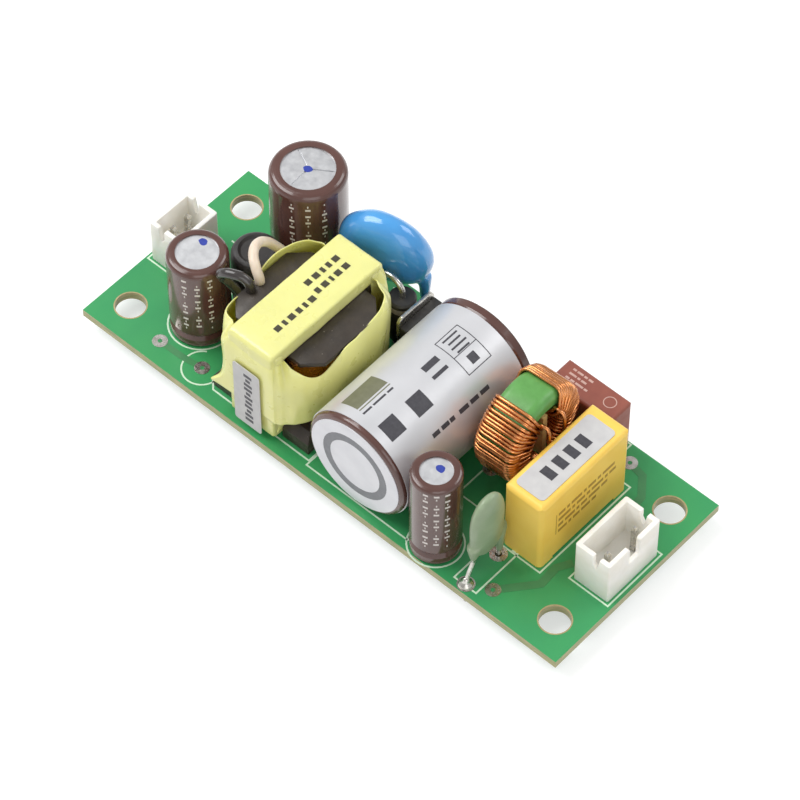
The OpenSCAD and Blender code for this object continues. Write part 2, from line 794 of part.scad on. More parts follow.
module transformer_winding_tape() {
    end_w = core_t / 2 + 0.45;
    half_in = core_l / 2 + tape_t;
    color(tape_yellow)
        transformer_place()
            translate([0, 0, wrap_z])
                linear_extrude(wrap_h)
                    difference() {
                        polygon(bulge(end_w + wrap_t, wrap_reach, half_in + wrap_t, 14));
                        polygon(bulge(end_w, wrap_reach - wrap_t, half_in, 14));
                    }
}

// Band of tape round the core halves, in the plane of the core, whose edges are folded
// down over both sides of the core
module transformer_core_tape() {
    h = core_h + 2 * tape_t;
    l = core_l + 2 * tape_t;
    edge = 0.3;
    fold = core_back - 0.15;
    color(tape_yellow)
        transformer_place()
            translate([0, 0, core_z + core_h / 2])
                rotate([90, 0, 90])
                    difference() {
                        linear_extrude(core_t + 2 * fold_t, center = true)
                            round_rect(l, h, edge + tape_t);
                        linear_extrude(core_t, center = true) square([core_l, core_h], center = true);
                        linear_extrude(core_t + 1, center = true)
                            square([core_l - 2 * fold, core_h - 2 * fold], center = true);
                    }
}

module transformer_label() {
    size = [4.4, 11.4];
    y = -core_l / 2 - tape_t - wrap_t;
    color("#d9d9e2")
        transformer_place()
            translate([-0.15, y, 6.5])
                rotate([90, 0, 0]) linear_extrude(0.1) round_rect(size[0], size[1], 0.4);
}

// ---- flying leads of the secondary winding, from the flange over the tape to the board ----
flying_d = 1.3;
flying_foot = 2;
black_route = [[-17.7, -6.7, 14.9], [-18.6, -6.8, 16.1], [-20, -7.4, 16.4], [-21.3, -7.7, 15.8],
               [-22.1, -7.4, 14.4], [-21.9, -6.2, 12], [-21.6, -4.9, 8.5], [-21.4, -4.3, 5],
               [-21.4, -4.2, 2.6]];
white_route = [[-17.8, -5, 14.9], [-18.8, -4.6, 16.2], [-20.1, -3.6, 16.7], [-21, -2, 16.4],
               [-21.1, -0.5, 15.4], [-20.7, 1.1, 13.2], [-20.2, 2.9, 9.8], [-20, 4.4, 6],
               [-20, 4.8, 2.6]];

module flying_lead(route, foot) {
    exit = [route[0][0], route[0][1], bobbin_high];
    end = [foot[0], foot[1], flying_foot];
    path = concat([exit], spline(route, 3), [end]);
    on_board() tube(path, [for (p = path) [0.7, 0.7, 0.05]], flying_d / 2, 8);
    translate([foot[0], foot[1], -tip_l])
        cylinder(d = flying_wire_d, h = tip_l + board_t + flying_foot, $fn = 24);
}

module transformer_black_lead() color(moulding_black) flying_lead(black_route, black_lead_end);
module transformer_white_lead() color("#dccfbe") flying_lead(white_route, white_lead_end);

// ================= output inductor, diode, power transistor =================

// Wound drum inside a shrunk sleeve, with round shoulders and a dished top
module output_inductor() {
    r = 3.2;
    h = 10.2;
    edge = 0.9;
    color(moulding_black)
        on_board() translate(inductor_at)
            rotate_extrude($fn = 64)
                polygon(concat([[0, 0], [r - 0.5, 0]], arc(r - 0.5, 0.5, 0.5, -90, 0, 4),
                    arc(r - edge, h - edge, edge, 0, 90, 5), [[r * 0.6, h - 0.25], [0, h - 0.25]]));
}

module output_inductor_leads() color(tin) straight_leads(inductor_leads, 0);

diode_foot = 1.2;
diode_body_l = 7.6;
diode_loop_z = diode_foot + diode_body_l + 0.6;

module snubber_diode_body() {
    r = 1.8;
    chamfer = 0.25;
    color(moulding_black)
        on_board() translate([diode_at[0], diode_at[1], diode_foot])
            rotate_extrude($fn = 48)
                polygon([[0, 0], [r - chamfer, 0], [r, chamfer], [r, diode_body_l - chamfer],
                         [r - chamfer, diode_body_l], [0, diode_body_l]]);
}

// One lead runs straight down, the other loops over the top and comes down beside the body
module snubber_diode_leads() {
    near = diode_leads[0];
    far = diode_leads[1];
    color(tin) {
        translate([near[0], near[1], -tip_l])
            cylinder(d = diode_lead_d, h = tip_l + board_t + diode_foot, $fn = 24);
        translate([near[0], near[1], board_t + diode_foot + diode_body_l])
            cylinder(d = diode_lead_d, h = diode_loop_z - diode_foot - diode_body_l, $fn = 24);
        translate([near[0] - diode_bend, near[1], board_t + diode_loop_z])
            rotate([90, 0, 0])
                rotate_extrude(angle = 180, $fn = 48)
                    translate([diode_bend, 0]) circle(d = diode_lead_d, $fn = 24);
        translate([far[0], far[1], -tip_l])
            cylinder(d = diode_lead_d, h = tip_l + board_t + diode_loop_z, $fn = 24);
    }
}

transistor_w = 6.5;
transistor_h = 6.4;
transistor_t = 2;
transistor_foot = 1.6;
tab_t = 0.5;
tab_h = 7.6;

module transistor_place()
    on_board() translate([transistor_at[0], transistor_at[1], transistor_foot]) children();

module power_transistor_body() {
    color(moulding_black)
        transistor_place()
            rotate([90, 0, 0])
                linear_extrude(transistor_w, center = true)
                    polygon([[-transistor_t / 2, 0], [transistor_t / 2 - 0.15, 0],
                             [transistor_t / 2, 0.9], [transistor_t / 2, transistor_h - 0.5],
                             [transistor_t / 2 - 0.3, transistor_h], [-transistor_t / 2, transistor_h]]);
}

// Metal tab on the rear of the body, with round upper corners, and three flat legs
module power_transistor_frame() {
    leg_t = 0.55;
    leg = [leg_t, sqrt(pin_round * pin_round - leg_t * leg_t)];
    color(tin) {
        transistor_place()
            translate([-transistor_t / 2 - tab_t, 0, 0])
                rotate([90, 0, 90]) linear_extrude(tab_t) arch_rect(transistor_w, tab_h, 0.9);
        for (p = transistor_leads)
            translate([p[0] - leg[0] / 2, p[1] - leg[1] / 2, -tip_l])
                cube([leg[0], leg[1], tip_l + board_t + transistor_foot]);
    }
}

// ================= surface-mount parts on the underside =================
// Each is [x, y, body length, body width, body height]

bridge_at = [7.6, 1.8, 5.2, 4.4, 1.5];
controller_at = [1.2, -6.6, 4.9, 3.9, 1.5];
opto_at = [-11, 3.8, 4.4, 3.9, 2];
rectifier_at = [-30.6, 5, 6.9, 5.9, 2.1];
// Chip resistors and capacitors: [x, y, along X]
chips = [[8, -9.8, true], [12.2, -6, false], [14.2, -10.5, true], [-1.2, -12.6, true],
         [3.6, -12.6, true], [29.5, -11.6, true], [20.8, 3.4, false], [-11, -8.6, true],
         [-11, -11.6, true], [-31.6, -4.4, false], [-22.6, -12.2, true]];
chip_size = [3.2, 1.6, 0.6];
chip_cap = 0.5;
body_gap = 0.1;
terminal_t = 0.2;

module package_body(p) {
    slope = 0.25;
    l = p[2];
    w = p[3];
    h = p[4];
    translate([p[0], p[1], body_gap])
        intersection() {
            rotate([90, 0, 0]) linear_extrude(w, center = true) package_profile(l, h - body_gap, slope);
            rotate([90, 0, 90]) linear_extrude(l, center = true) package_profile(w, h - body_gap, slope);
        }
}

// Moulded outline with drafted sides and a flat band where the terminals come out
module package_profile(l, h, slope) {
    low = h * 0.45 - terminal_t / 2;
    high = low + terminal_t;
    polygon([[-l / 2 + slope, 0], [l / 2 - slope, 0], [l / 2, low], [l / 2, high],
             [l / 2 - slope, h], [-l / 2 + slope, h], [-l / 2, high], [-l / 2, low]]);
}

// Height above the board at which a package's terminals come out, to their upper side
function terminal_top(p) = body_gap + (p[4] - body_gap) * 0.45 + terminal_t / 2;

// Bent foot that leaves the side of a package and lies on the board
module gull_foot(reach, rise, w) {
    t = terminal_t;
    rotate([90, 0, 0])
        linear_extrude(w, center = true)
            polygon([[0, rise], [0.45, rise], [0.65, t], [reach, t], [reach, 0], [0.5, 0],
                     [0.3, rise - t], [0, rise - t]]);
}

// Flat strap that leaves the end of a package and folds down and under it
module folded_strap(rise, w) {
    out = 0.35;
    under = 0.8;
    t = terminal_t;
    rotate([90, 0, 0])
        linear_extrude(w, center = true)
            polygon([[0, rise], [out, rise], [out, 0], [-under, 0], [-under, body_gap],
                     [out - t, body_gap], [out - t, rise - t], [0, rise - t]]);
}

// A row of feet on both long sides of a package
module feet(p, pitch, count, w) {
    for (s = [-1, 1], i = [0 : count - 1])
        translate([p[0] + (i - (count - 1) / 2) * pitch, p[1] + s * p[3] / 2, 0])
            rotate([0, 0, s * 90]) gull_foot(1.1, terminal_top(p), w);
}

module bridge_rectifier() color(moulding_black) under_board() package_body(bridge_at);
module controller_ic() color(moulding_black) under_board() package_body(controller_at);
module optocoupler() color("#e9e6da") under_board() package_body(opto_at);
module output_rectifier() color(moulding_black) under_board() package_body(rectifier_at);

module chip(c) translate([c[0], c[1], 0]) rotate([0, 0, c[2] ? 0 : 90]) children();

module chip_components() {
    color("#3d3a37")
        under_board()
            for (c = chips)
                chip(c)
                    translate([-chip_size[0] / 2 + chip_cap, -chip_size[1] / 2, 0])
                        cube([chip_size[0] - 2 * chip_cap, chip_size[1], chip_size[2]]);
}

module surface_mount_terminals() {
    color(tin)
        under_board() {
            feet(bridge_at, 3.8, 2, 0.8);
            feet(controller_at, 1.27, 4, 0.42);
            feet(opto_at, 2.54, 2, 0.42);
            for (s = [0, 1])
                translate([rectifier_at[0], rectifier_at[1], 0])
                    mirror([s, 0, 0])
                        translate([rectifier_at[2] / 2, 0, 0])
                            folded_strap(terminal_top(rectifier_at), 3);
            for (c = chips)
                chip(c)
                    for (s = [0, 1])
                        mirror([s, 0, 0])
                            translate([chip_size[0] / 2 - chip_cap, -chip_size[1] / 2, 0])
                                cube([chip_cap, chip_size[1], chip_size[2]]);
        }
}

// ================= nodes =================

board();
solder_joints();
ac_header_housing();
ac_header_pins();
dc_header_housing();
dc_header_pins();
film_capacitor_case();
film_capacitor_label();
film_capacitor_leads();
fuse_case();
fuse_leads();
thermistor_disc();
thermistor_leads();
disc_capacitor_body();
disc_capacitor_leads();
bulk_capacitor_can();
bulk_capacitor_sleeve();
bulk_capacitor_bung();
bulk_capacitor_leads();
bulk_capacitor_label();
bulk_capacitor_end_label();
supply_capacitor_can();
supply_capacitor_sleeve();
supply_capacitor_bung();
supply_capacitor_leads();
output_capacitor_can();
output_capacitor_sleeve();
output_capacitor_bung();
output_capacitor_leads();
filter_capacitor_can();
filter_capacitor_sleeve();
filter_capacitor_bung();
filter_capacitor_leads();
choke_core();
choke_front_winding();
choke_back_winding();
choke_divider();
transformer_upper_core();
transformer_lower_core();
transformer_bobbin();
transformer_pins();
transformer_winding();
transformer_winding_tape();
transformer_core_tape();
transformer_label();
transformer_black_lead();
transformer_white_lead();
output_inductor();
output_inductor_leads();
snubber_diode_body();
snubber_diode_leads();
power_transistor_body();
power_transistor_frame();
bridge_rectifier();
controller_ic();
optocoupler();
output_rectifier();
chip_components();
surface_mount_terminals();
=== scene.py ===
"""Looks of an open frame AC-DC power supply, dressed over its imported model."""

from __future__ import annotations

import json
import logging
import math
import random
from dataclasses import dataclass, field
from enum import Enum
from typing import Any, Sequence

import bmesh
import bpy
from mathutils import Matrix, Vector, noise

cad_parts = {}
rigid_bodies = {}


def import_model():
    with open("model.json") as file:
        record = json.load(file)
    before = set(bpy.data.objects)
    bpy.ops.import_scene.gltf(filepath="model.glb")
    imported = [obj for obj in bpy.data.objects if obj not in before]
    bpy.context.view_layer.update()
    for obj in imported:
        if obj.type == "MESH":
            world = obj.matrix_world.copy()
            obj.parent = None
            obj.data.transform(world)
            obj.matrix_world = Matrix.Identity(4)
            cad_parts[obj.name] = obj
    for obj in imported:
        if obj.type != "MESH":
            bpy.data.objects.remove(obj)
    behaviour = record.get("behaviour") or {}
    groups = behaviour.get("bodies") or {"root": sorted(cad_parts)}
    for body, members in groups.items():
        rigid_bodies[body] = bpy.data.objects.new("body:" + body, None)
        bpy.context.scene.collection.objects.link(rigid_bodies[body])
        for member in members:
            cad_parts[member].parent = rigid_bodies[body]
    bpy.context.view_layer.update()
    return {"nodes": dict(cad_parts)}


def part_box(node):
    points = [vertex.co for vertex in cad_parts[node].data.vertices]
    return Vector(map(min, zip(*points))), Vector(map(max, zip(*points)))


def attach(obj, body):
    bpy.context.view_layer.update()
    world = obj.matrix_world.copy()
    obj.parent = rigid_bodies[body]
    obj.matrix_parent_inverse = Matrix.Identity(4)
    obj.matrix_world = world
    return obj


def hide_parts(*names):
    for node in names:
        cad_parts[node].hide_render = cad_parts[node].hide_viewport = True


LOG = logging.getLogger("power_supply")

# Pieces are drawn in millimetres and brought to metres when they are finished.
MM = 0.001
# How far print and pads reach into the surface they lie on, so that none floats.
SINK = 0.01

Point = tuple[float, float]
Spot = tuple[float, float, float]


# ---------------------------------------------------------------- shading helpers


def linear(hex_colour: str) -> tuple[float, float, float, float]:
    """Turn an sRGB hex colour into linear red, green, blue and alpha.

    Args:
        hex_colour: Colour as "#rrggbb".

    Returns:
        Linear channels with an alpha of 1.
    """
    channels = [int(hex_colour[i : i + 2], 16) / 255 for i in (1, 3, 5)]
    r, g, b = (c / 12.92 if c <= 0.04045 else ((c + 0.055) / 1.055) ** 2.4 for c in channels)
    return (r, g, b, 1.0)


def per_mm(size: float) -> float:
    """Texture scale at which a feature has the given size in millimetres."""
    return 1 / (size * MM)


def add(
    tree: bpy.types.NodeTree,
    kind: str,
    options: dict[str, Any] | None = None,
    inputs: dict[str | int, Any] | None = None,
) -> bpy.types.Node:
    """Add a node, set its options and fill or link its inputs.

    Args:
        tree: Node tree that gets the node.
        kind: Blender's name for the type of node.
        options: The node's own settings by attribute name.
        inputs: Plain values, or sockets to link from, by input name or number.

    Returns:
        The new node.
    """
    node = tree.nodes.new(kind)
    for name, value in (options or {}).items():
        setattr(node, name, value)
    for name, value in (inputs or {}).items():
        if isinstance(value, bpy.types.NodeSocket):
            tree.links.new(value, node.inputs[name])
        else:
            node.inputs[name].default_value = value
    return node


def clouds(
    tree: bpy.types.NodeTree,
    place: bpy.types.NodeSocket,
    size: float,
    spread: float = 0.2,
    detail: float = 3.0,
) -> bpy.types.NodeSocket:
    """Make a soft cloudy factor between 0 and 1.

    Args:
        tree: Node tree that gets the nodes.
        place: Coordinates to read.
        size: Size of one cloud in millimetres.
        spread: Noise range to each side of its middle that is stretched to 0..1.
        detail: Octaves of finer noise.

    Returns:
        Socket with the factor.
    """
    cloud = add(
        tree, "ShaderNodeTexNoise", None, {"Vector": place, "Scale": per_mm(size), "Detail": detail}
    )
    stretch = {"Value": cloud.outputs[0], "From Min": 0.5 - spread, "From Max": 0.5 + spread}
    return add(tree, "ShaderNodeMapRange", None, stretch).outputs[0]


def between(
    tree: bpy.types.NodeTree, factor: bpy.types.NodeSocket, first: Any, second: Any
) -> bpy.types.NodeSocket:
    """Blend two colours.

    Args:
        tree: Node tree that gets the node.
        factor: 0 gives the first colour and 1 the second.
        first: Colour or socket.
        second: Colour or socket.

    Returns:
        Socket with the blended colour.
    """
    mixed = add(tree, "ShaderNodeMix", {"data_type": "RGBA"}, {0: factor, 6: first, 7: second})
    return mixed.outputs[2]


# ---------------------------------------------------------------- finishes


@dataclass(frozen=True)
class Finish:
    """Surface of one real material, with cloudy colour, uneven gloss and a fine grain.

    Sizes are in millimetres. Fixed holds the shader's constant values by input name.
    """

    name: str
    colour: str
    tint: str
    cloud: float = 3.0
    roughness: float = 0.4
    swing: float = 0.05
    grain: float = 0.3
    relief: float = 0.004
    fixed: tuple[tuple[str, Any], ...] = ()

    def material(self) -> bpy.types.Material:
        """Build the material's nodes and return it."""
        made = bpy.data.materials.new(self.name)
        made.use_nodes = True
        tree = made.node_tree
        tree.nodes.clear()
        shader = add(tree, "ShaderNodeBsdfPrincipled", None, dict(self.fixed))
        add(tree, "ShaderNodeOutputMaterial", None, {"Surface": shader.outputs[0]})
        place = add(tree, "ShaderNodeTexCoord").outputs["Object"]
        tree.links.new(self.hue(tree, place), shader.inputs["Base Color"])
        tree.links.new(self.gloss(tree, place), shader.inputs["Roughness"])
        tree.links.new(self.height(tree, place), shader.inputs["Normal"])
        made.diffuse_color = linear(self.colour)
        return made

    def hue(self, tree: bpy.types.NodeTree, place: bpy.types.NodeSocket) -> bpy.types.NodeSocket:
        """Colour that drifts between the finish's two tones."""
        return between(tree, clouds(tree, place, self.cloud), linear(self.colour), linear(self.tint))

    def gloss(self, tree: bpy.types.NodeTree, place: bpy.types.NodeSocket) -> bpy.types.NodeSocket:
        """Roughness that swings a little about its middle value."""
        ends = {"To Min": self.roughness - self.swing, "To Max": self.roughness + self.swing}
        factor = clouds(tree, place, self.cloud * 0.6, 0.25)
        return add(tree, "ShaderNodeMapRange", None, {"Value": factor, **ends}).outputs[0]

    def height(self, tree: bpy.types.NodeTree, place: bpy.types.NodeSocket) -> bpy.types.NodeSocket:
        """Fine grain as a bump of real height."""
        fine = clouds(tree, place, self.grain, 0.35, 2.0)
        bump = {"Height": fine, "Distance": self.relief * MM, "Strength": 1.0}
        return add(tree, "ShaderNodeBump", None, bump).outputs[0]


@dataclass(frozen=True)
class SolderMask(Finish):
    """Green mask over glass laminate: the sawn edges and drilled walls stay bare."""

    laminate: str = "#b5a878"
    core: str = "#7f8a55"

    def hue(self, tree: bpy.types.NodeTree, place: bpy.types.NodeSocket) -> bpy.types.NodeSocket:
        """Green on the two faces, layered tan on every upright wall."""
        green = Finish.hue(self, tree, place)
        # Glass layers show as fine streaks along the sawn edge.
        layers = add(tree, "ShaderNodeMapping", None, {"Vector": place, "Scale": (0.3, 0.3, 4.0)})
        streak = clouds(tree, layers.outputs[0], 0.9)
        wall = between(tree, streak, linear(self.laminate), linear(self.core))
        normal = add(tree, "ShaderNodeNewGeometry").outputs["True Normal"]
        upright = add(tree, "ShaderNodeSeparateXYZ", None, {"Vector": normal}).outputs["Z"]
        flat = add(tree, "ShaderNodeMath", {"operation": "ABSOLUTE"}, {0: upright}).outputs[0]
        face = add(tree, "ShaderNodeMath", {"operation": "GREATER_THAN"}, {0: flat, 1: 0.5})
        return between(tree, face.outputs[0], wall, green)

    def height(self, tree: bpy.types.NodeTree, place: bpy.types.NodeSocket) -> bpy.types.NodeSocket:
        """Glass weave that telegraphs faintly through the mask, drawn at its real 0.5 mm."""
        warp = add(
            tree,
            "ShaderNodeTexWave",
            {"bands_direction": "X"},
            {"Vector": place, "Scale": per_mm(self.grain) / 20, "Distortion": 0.6},
        )
        weft = add(
            tree,
            "ShaderNodeTexWave",
            {"bands_direction": "Y"},
            {"Vector": place, "Scale": per_mm(self.grain) / 20, "Distortion": 0.6},
        )
        both = {0: warp.outputs[1], 1: weft.outputs[1]}
        weave = add(tree, "ShaderNodeMath", {"operation": "MULTIPLY"}, both).outputs[0]
        bump = {"Height": weave, "Distance": self.relief * MM, "Strength": 1.0}
        return add(tree, "ShaderNodeBump", None, bump).outputs[0]


@dataclass(frozen=True)
class Speckled(Finish):
    """Dark moulding with pale dust and flecks of filler."""

    speck: str = "#a59d90"
    speck_size: float = 0.5
    speck_share: float = 0.69

    def hue(self, tree: bpy.types.NodeTree, place: bpy.types.NodeSocket) -> bpy.types.NodeSocket:
        """Cloudy base with sparse pale flecks."""
        base = Finish.hue(self, tree, place)
        inputs = {"Vector": place, "Scale": per_mm(self.speck_size), "Detail": 4.0, "Roughness": 0.7}
        dust = add(tree, "ShaderNodeTexNoise", None, inputs).outputs[0]
        ends = {"Value": dust, "From Min": self.speck_share, "From Max": self.speck_share + 0.04}
        mask = add(tree, "ShaderNodeMapRange", None, ends).outputs[0]
        return between(tree, mask, base, linear(self.speck))


@dataclass(frozen=True)
class Wrinkled(Finish):
    """Film or shrunk sleeve whose long soft creases run upright under the fine grain."""

    crease: float = 2.2
    crease_height: float = 0.05
    stretch: float = 0.3

    def height(self, tree: bpy.types.NodeTree, place: bpy.types.NodeSocket) -> bpy.types.NodeSocket:
        """Upright creases first, then the grain on top of them."""
        lay = {"Vector": place, "Scale": (1.0, 1.0, self.stretch)}
        upright = add(tree, "ShaderNodeMapping", None, lay).outputs[0]
        folds = clouds(tree, upright, self.crease, 0.3, 2.0)
        bump = {"Height": folds, "Distance": self.crease_height * MM, "Strength": 1.0}
        creased = add(tree, "ShaderNodeBump", None, bump).outputs[0]
        fine = clouds(tree, place, self.grain, 0.35, 2.0)
        top = {"Height": fine, "Distance": self.relief * MM, "Strength": 1.0, "Normal": creased}
        return add(tree, "ShaderNodeBump", None, top).outputs[0]


# Each finish is named for the real material, and the note says what that gives the eye.
SLOT_FINISHES: dict[str, Finish] = {
    # Glossy photo-imaged epoxy mask over woven glass: even green, weave just felt.
    "solder_mask": SolderMask(
        "green_solder_mask_on_glass_epoxy", "#3c9c5b", "#35925a", 9.0, 0.32, 0.05, 0.5, 0.002,
        (("Specular IOR Level", 0.45),),
    ),
    # Hot-dipped tin: bright grey metal, gently uneven where the solder wetted.
    "tin": Finish(
        "hot_dipped_tin", "#d8d6d0", "#b9b6ae", 0.8, 0.27, 0.1, 0.35, 0.01, (("Metallic", 1.0),)
    ),
    # Natural moulded nylon 66: milky, lit through at its thin walls, satin.
    "nylon": Finish(
        "natural_moulded_nylon_66", "#f1efe9", "#e6e3da", 2.5, 0.38, 0.05, 0.25, 0.003,
        (("Subsurface Weight", 0.35), ("Subsurface Radius", (1.0, 0.9, 0.75)),
         ("Subsurface Scale", 0.0012)),
    ),
    # Moulded PBT box: warm yellow, waxy satin, rounded edges catch a soft light.
    "film_case": Finish(
        "moulded_yellow_pbt", "#f4cf62", "#eec352", 5.0, 0.42, 0.06, 0.35, 0.005,
        (("Subsurface Weight", 0.1), ("Subsurface Radius", (1.0, 0.7, 0.2)),
         ("Subsurface Scale", 0.0006)),
    ),
    # Printed grey polyester label: flat, matt, no sparkle.
    "grey_label": Finish(
        "matt_grey_polyester_label", "#c2c1c0", "#b9b8b8", 1.2, 0.55, 0.05, 0.2, 0.003
    ),
    # Moulded phenolic fuse shell: brick brown, dull with a faint sheen.
    "fuse_body": Finish(
        "moulded_brown_thermoplastic", "#8f4f40", "#84463a", 1.8, 0.5, 0.06, 0.25, 0.006
    ),
    # Dipped epoxy powder coat: olive, soft satin with slow ripples.
    "thermistor_coat": Finish(
        "dipped_olive_epoxy", "#7d9071", "#8f9f80", 3.5, 0.4, 0.08, 1.2, 0.02,
        (("Coat Weight", 0.15), ("Coat Roughness", 0.3)),
    ),
    # Thick dipped epoxy: saturated blue, wet gloss, slow dimples.
    "disc_coat": Finish(
        "dipped_blue_epoxy", "#3f8fd0", "#4a9ad6", 4.0, 0.2, 0.04, 1.6, 0.03,
        (("Coat Weight", 0.6), ("Coat Roughness", 0.06)),
    ),
    # Deep-drawn aluminium: pale matt grey disc with fine tool marks.
    "can_aluminium": Finish(
        "deep_drawn_aluminium", "#d6d7d9", "#c3c4c7", 1.0, 0.38, 0.07, 0.12, 0.004,
        (("Metallic", 0.85),),
    ),
    # Shrunk PET sleeve: dark coffee brown, tight gloss with faint upright pulls.
    "capacitor_sleeve": Wrinkled(
        "shrunk_brown_pet_sleeve", "#5a3a33", "#4f322c", 4.0, 0.2, 0.04, 0.5, 0.003,
        (("Coat Weight", 0.4), ("Coat Roughness", 0.1)), 1.8, 0.02, 0.25,
    ),
    # Butyl rubber bung: black, matt.
    "seal_rubber": Finish("butyl_rubber", "#262524", "#302f2d", 1.0, 0.75, 0.08, 0.15, 0.01),
    # Metallised polyester label: silver, satin sheen along the cylinder.
    "foil_label": Wrinkled(
        "metallised_polyester_label", "#d4d4d7", "#cccdd0", 6.0, 0.34, 0.05, 0.15, 0.002,
        (("Metallic", 0.45),), 7.0, 0.02, 1.0,
    ),
    # Printed paper-film end disc: cooler, whiter, satin.
    "end_label": Finish(
        "satin_film_end_label", "#dcdce0", "#d2d2d7", 3.0, 0.36, 0.06, 0.3, 0.003,
        (("Metallic", 0.2),),
    ),
    # Epoxy-coated ferrite ring: leaf green, satin, slightly pitted.
    "core_coat": Finish(
        "green_epoxy_coated_ferrite", "#5f9d50", "#569147", 1.2, 0.38, 0.07, 0.22, 0.012
    ),
    # Polyurethane-enamelled copper wire: warm metal under a clear glossy skin.
    "enamelled_copper": Finish(
        "enamelled_copper_wire", "#dd9358", "#c27a43", 1.5, 0.26, 0.06, 0.3, 0.004,
        (("Metallic", 1.0), ("Coat Weight", 0.5), ("Coat Roughness", 0.12)),
    ),
    # Vulcanised fibre plate: tan, dull, fibrous.
    "fibre_board": Finish("vulcanised_fibre", "#c9a66b", "#b9935a", 0.8, 0.6, 0.06, 0.12, 0.01),
    # Sintered ferrite: near black, ground faces with a dull sheen.
    "ferrite": Finish("sintered_ferrite", "#3a3531", "#46413b", 0.8, 0.5, 0.1, 0.12, 0.01),
    # Moulded phenolic bobbin: brown black with pale filler dust.
    "bobbin_plastic": Speckled(
        "moulded_phenolic", "#3b332b", "#302923", 1.6, 0.42, 0.1, 0.3, 0.012
    ),
    # Yellow polyester film tape: clear gloss over pale adhesive, creased, lit through.
    "film_tape": Wrinkled(
        "yellow_polyester_film_tape", "#e9e68f", "#e2e08c", 3.5, 0.3, 0.06, 0.4, 0.006,
        (("Subsurface Weight", 0.25), ("Subsurface Radius", (1.0, 0.95, 0.35)),
         ("Subsurface Scale", 0.0009), ("Coat Weight", 0.3), ("Coat Roughness", 0.15)),
        2.0, 0.045, 0.45,
    ),
    # Black PTFE sleeving: smooth, glossy.
    "black_sleeving": Finish(
        "black_ptfe_sleeving", "#2c2827", "#393433", 1.5, 0.22, 0.05, 0.4, 0.006,
        (("Coat Weight", 0.3), ("Coat Roughness", 0.1)),
    ),
    # Natural PTFE sleeving: cream, lit through, soft gloss.
    "white_sleeving": Finish(
        "natural_ptfe_sleeving", "#e2d4c2", "#d5c4b0", 1.5, 0.32, 0.05, 0.4, 0.006,
        (("Subsurface Weight", 0.3), ("Subsurface Radius", (1.0, 0.8, 0.6)),
         ("Subsurface Scale", 0.0006)),
    ),
    # Heat-shrunk polyolefin over a wound drum: satin black with dust.
    "shrink_black": Speckled(
        "black_heat_shrink", "#2b2929", "#353231", 2.0, 0.45, 0.08, 0.9, 0.02, (),
        "#b5b2ac", 0.42, 0.71,
    ),
    # Epoxy moulding compound: charcoal, sand-blasted mould texture.
    "moulded_black": Finish(
        "black_epoxy_moulding_compound", "#2b2a29", "#353331", 1.0, 0.5, 0.08, 0.12, 0.008
    ),
    # White epoxy moulding compound of the optocoupler.
    "moulded_white": Finish(
        "white_epoxy_moulding_compound", "#e9e6da", "#dcd8ca", 1.0, 0.5, 0.06, 0.12, 0.008
    ),
    # Glazed resistor body: black glass over white ceramic, small and shiny.
    "chip_ceramic": Finish(
        "black_glazed_ceramic", "#35322f", "#4a453f", 0.7, 0.25, 0.06, 0.15, 0.004
    ),
}


class Extra(Enum):
    """Finishes of print and bare laminate, which belong to no slot of the part's record."""

    SILKSCREEN = Finish("pale_epoxy_ink", "#d5ead2", "#c3dfc2", 0.6, 0.5, 0.06, 0.12, 0.004)
    LAMINATE = Finish("bare_glass_epoxy", "#b9a67a", "#a08f66", 0.5, 0.5, 0.06, 0.15, 0.006)
    MASKED_COPPER = Finish(
        "solder_mask_over_copper", "#448a55", "#3f8152", 2.0, 0.34, 0.05, 0.4, 0.003
    )
    DARK_INK = Finish("charcoal_ink", "#35343a", "#414046", 0.5, 0.45, 0.06, 0.1, 0.002)
    BLACK_INK = Finish("black_stamp_ink", "#33301f", "#403c28", 0.4, 0.5, 0.06, 0.1, 0.002)
    OLIVE_INK = Finish("olive_ink", "#6f7058", "#66674f", 0.8, 0.45, 0.06, 0.1, 0.002)
    BROWN_INK = Finish("brown_etched_ink", "#b08a3a", "#a37d31", 0.4, 0.5, 0.06, 0.1, 0.002)
    PALE_INK = Finish("pale_pad_ink", "#c9a79c", "#b8958a", 0.4, 0.55, 0.06, 0.1, 0.002)
    WHITE_INK = Finish("white_sleeve_ink", "#d9d2cd", "#cbc3be", 0.4, 0.4, 0.06, 0.1, 0.002)
    STRIPE_GREY = Finish("grey_sleeve_ink", "#a39a98", "#978d8b", 1.0, 0.3, 0.05, 0.3, 0.003)
    BLUE_INK = Finish("blue_marker_ink", "#2b3f9e", "#24368c", 0.3, 0.35, 0.06, 0.1, 0.002)
    GREY_INK = Finish("grey_ink", "#6e6f74", "#77787d", 0.8, 0.42, 0.05, 0.2, 0.002)


class Palette:
    """Materials of the whole object, each built once and shared."""

    def __init__(self) -> None:
        """Start with no material built."""
        self._made: dict[str, bpy.types.Material] = {}

    def get(self, finish: Finish) -> bpy.types.Material:
        """Return the material of a finish, building it the first time."""
        if finish.name not in self._made:
            self._made[finish.name] = finish.material()
        return self._made[finish.name]

    def dress(self, nodes: dict[str, bpy.types.Object]) -> None:
        """Give every carried-over node the finish of its own slot.

        Args:
            nodes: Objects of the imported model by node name.
        """
        slots = {
            slot.material.name.split(".")[0]: slot.material
            for node in nodes.values()
            for slot in node.material_slots
        }
        finished = {name: self.get(SLOT_FINISHES[name]) for name in slots}
        for node in nodes.values():
            for slot in node.material_slots:
                slot.material = finished[slot.material.name.split(".")[0]]


# ---------------------------------------------------------------- mesh helpers


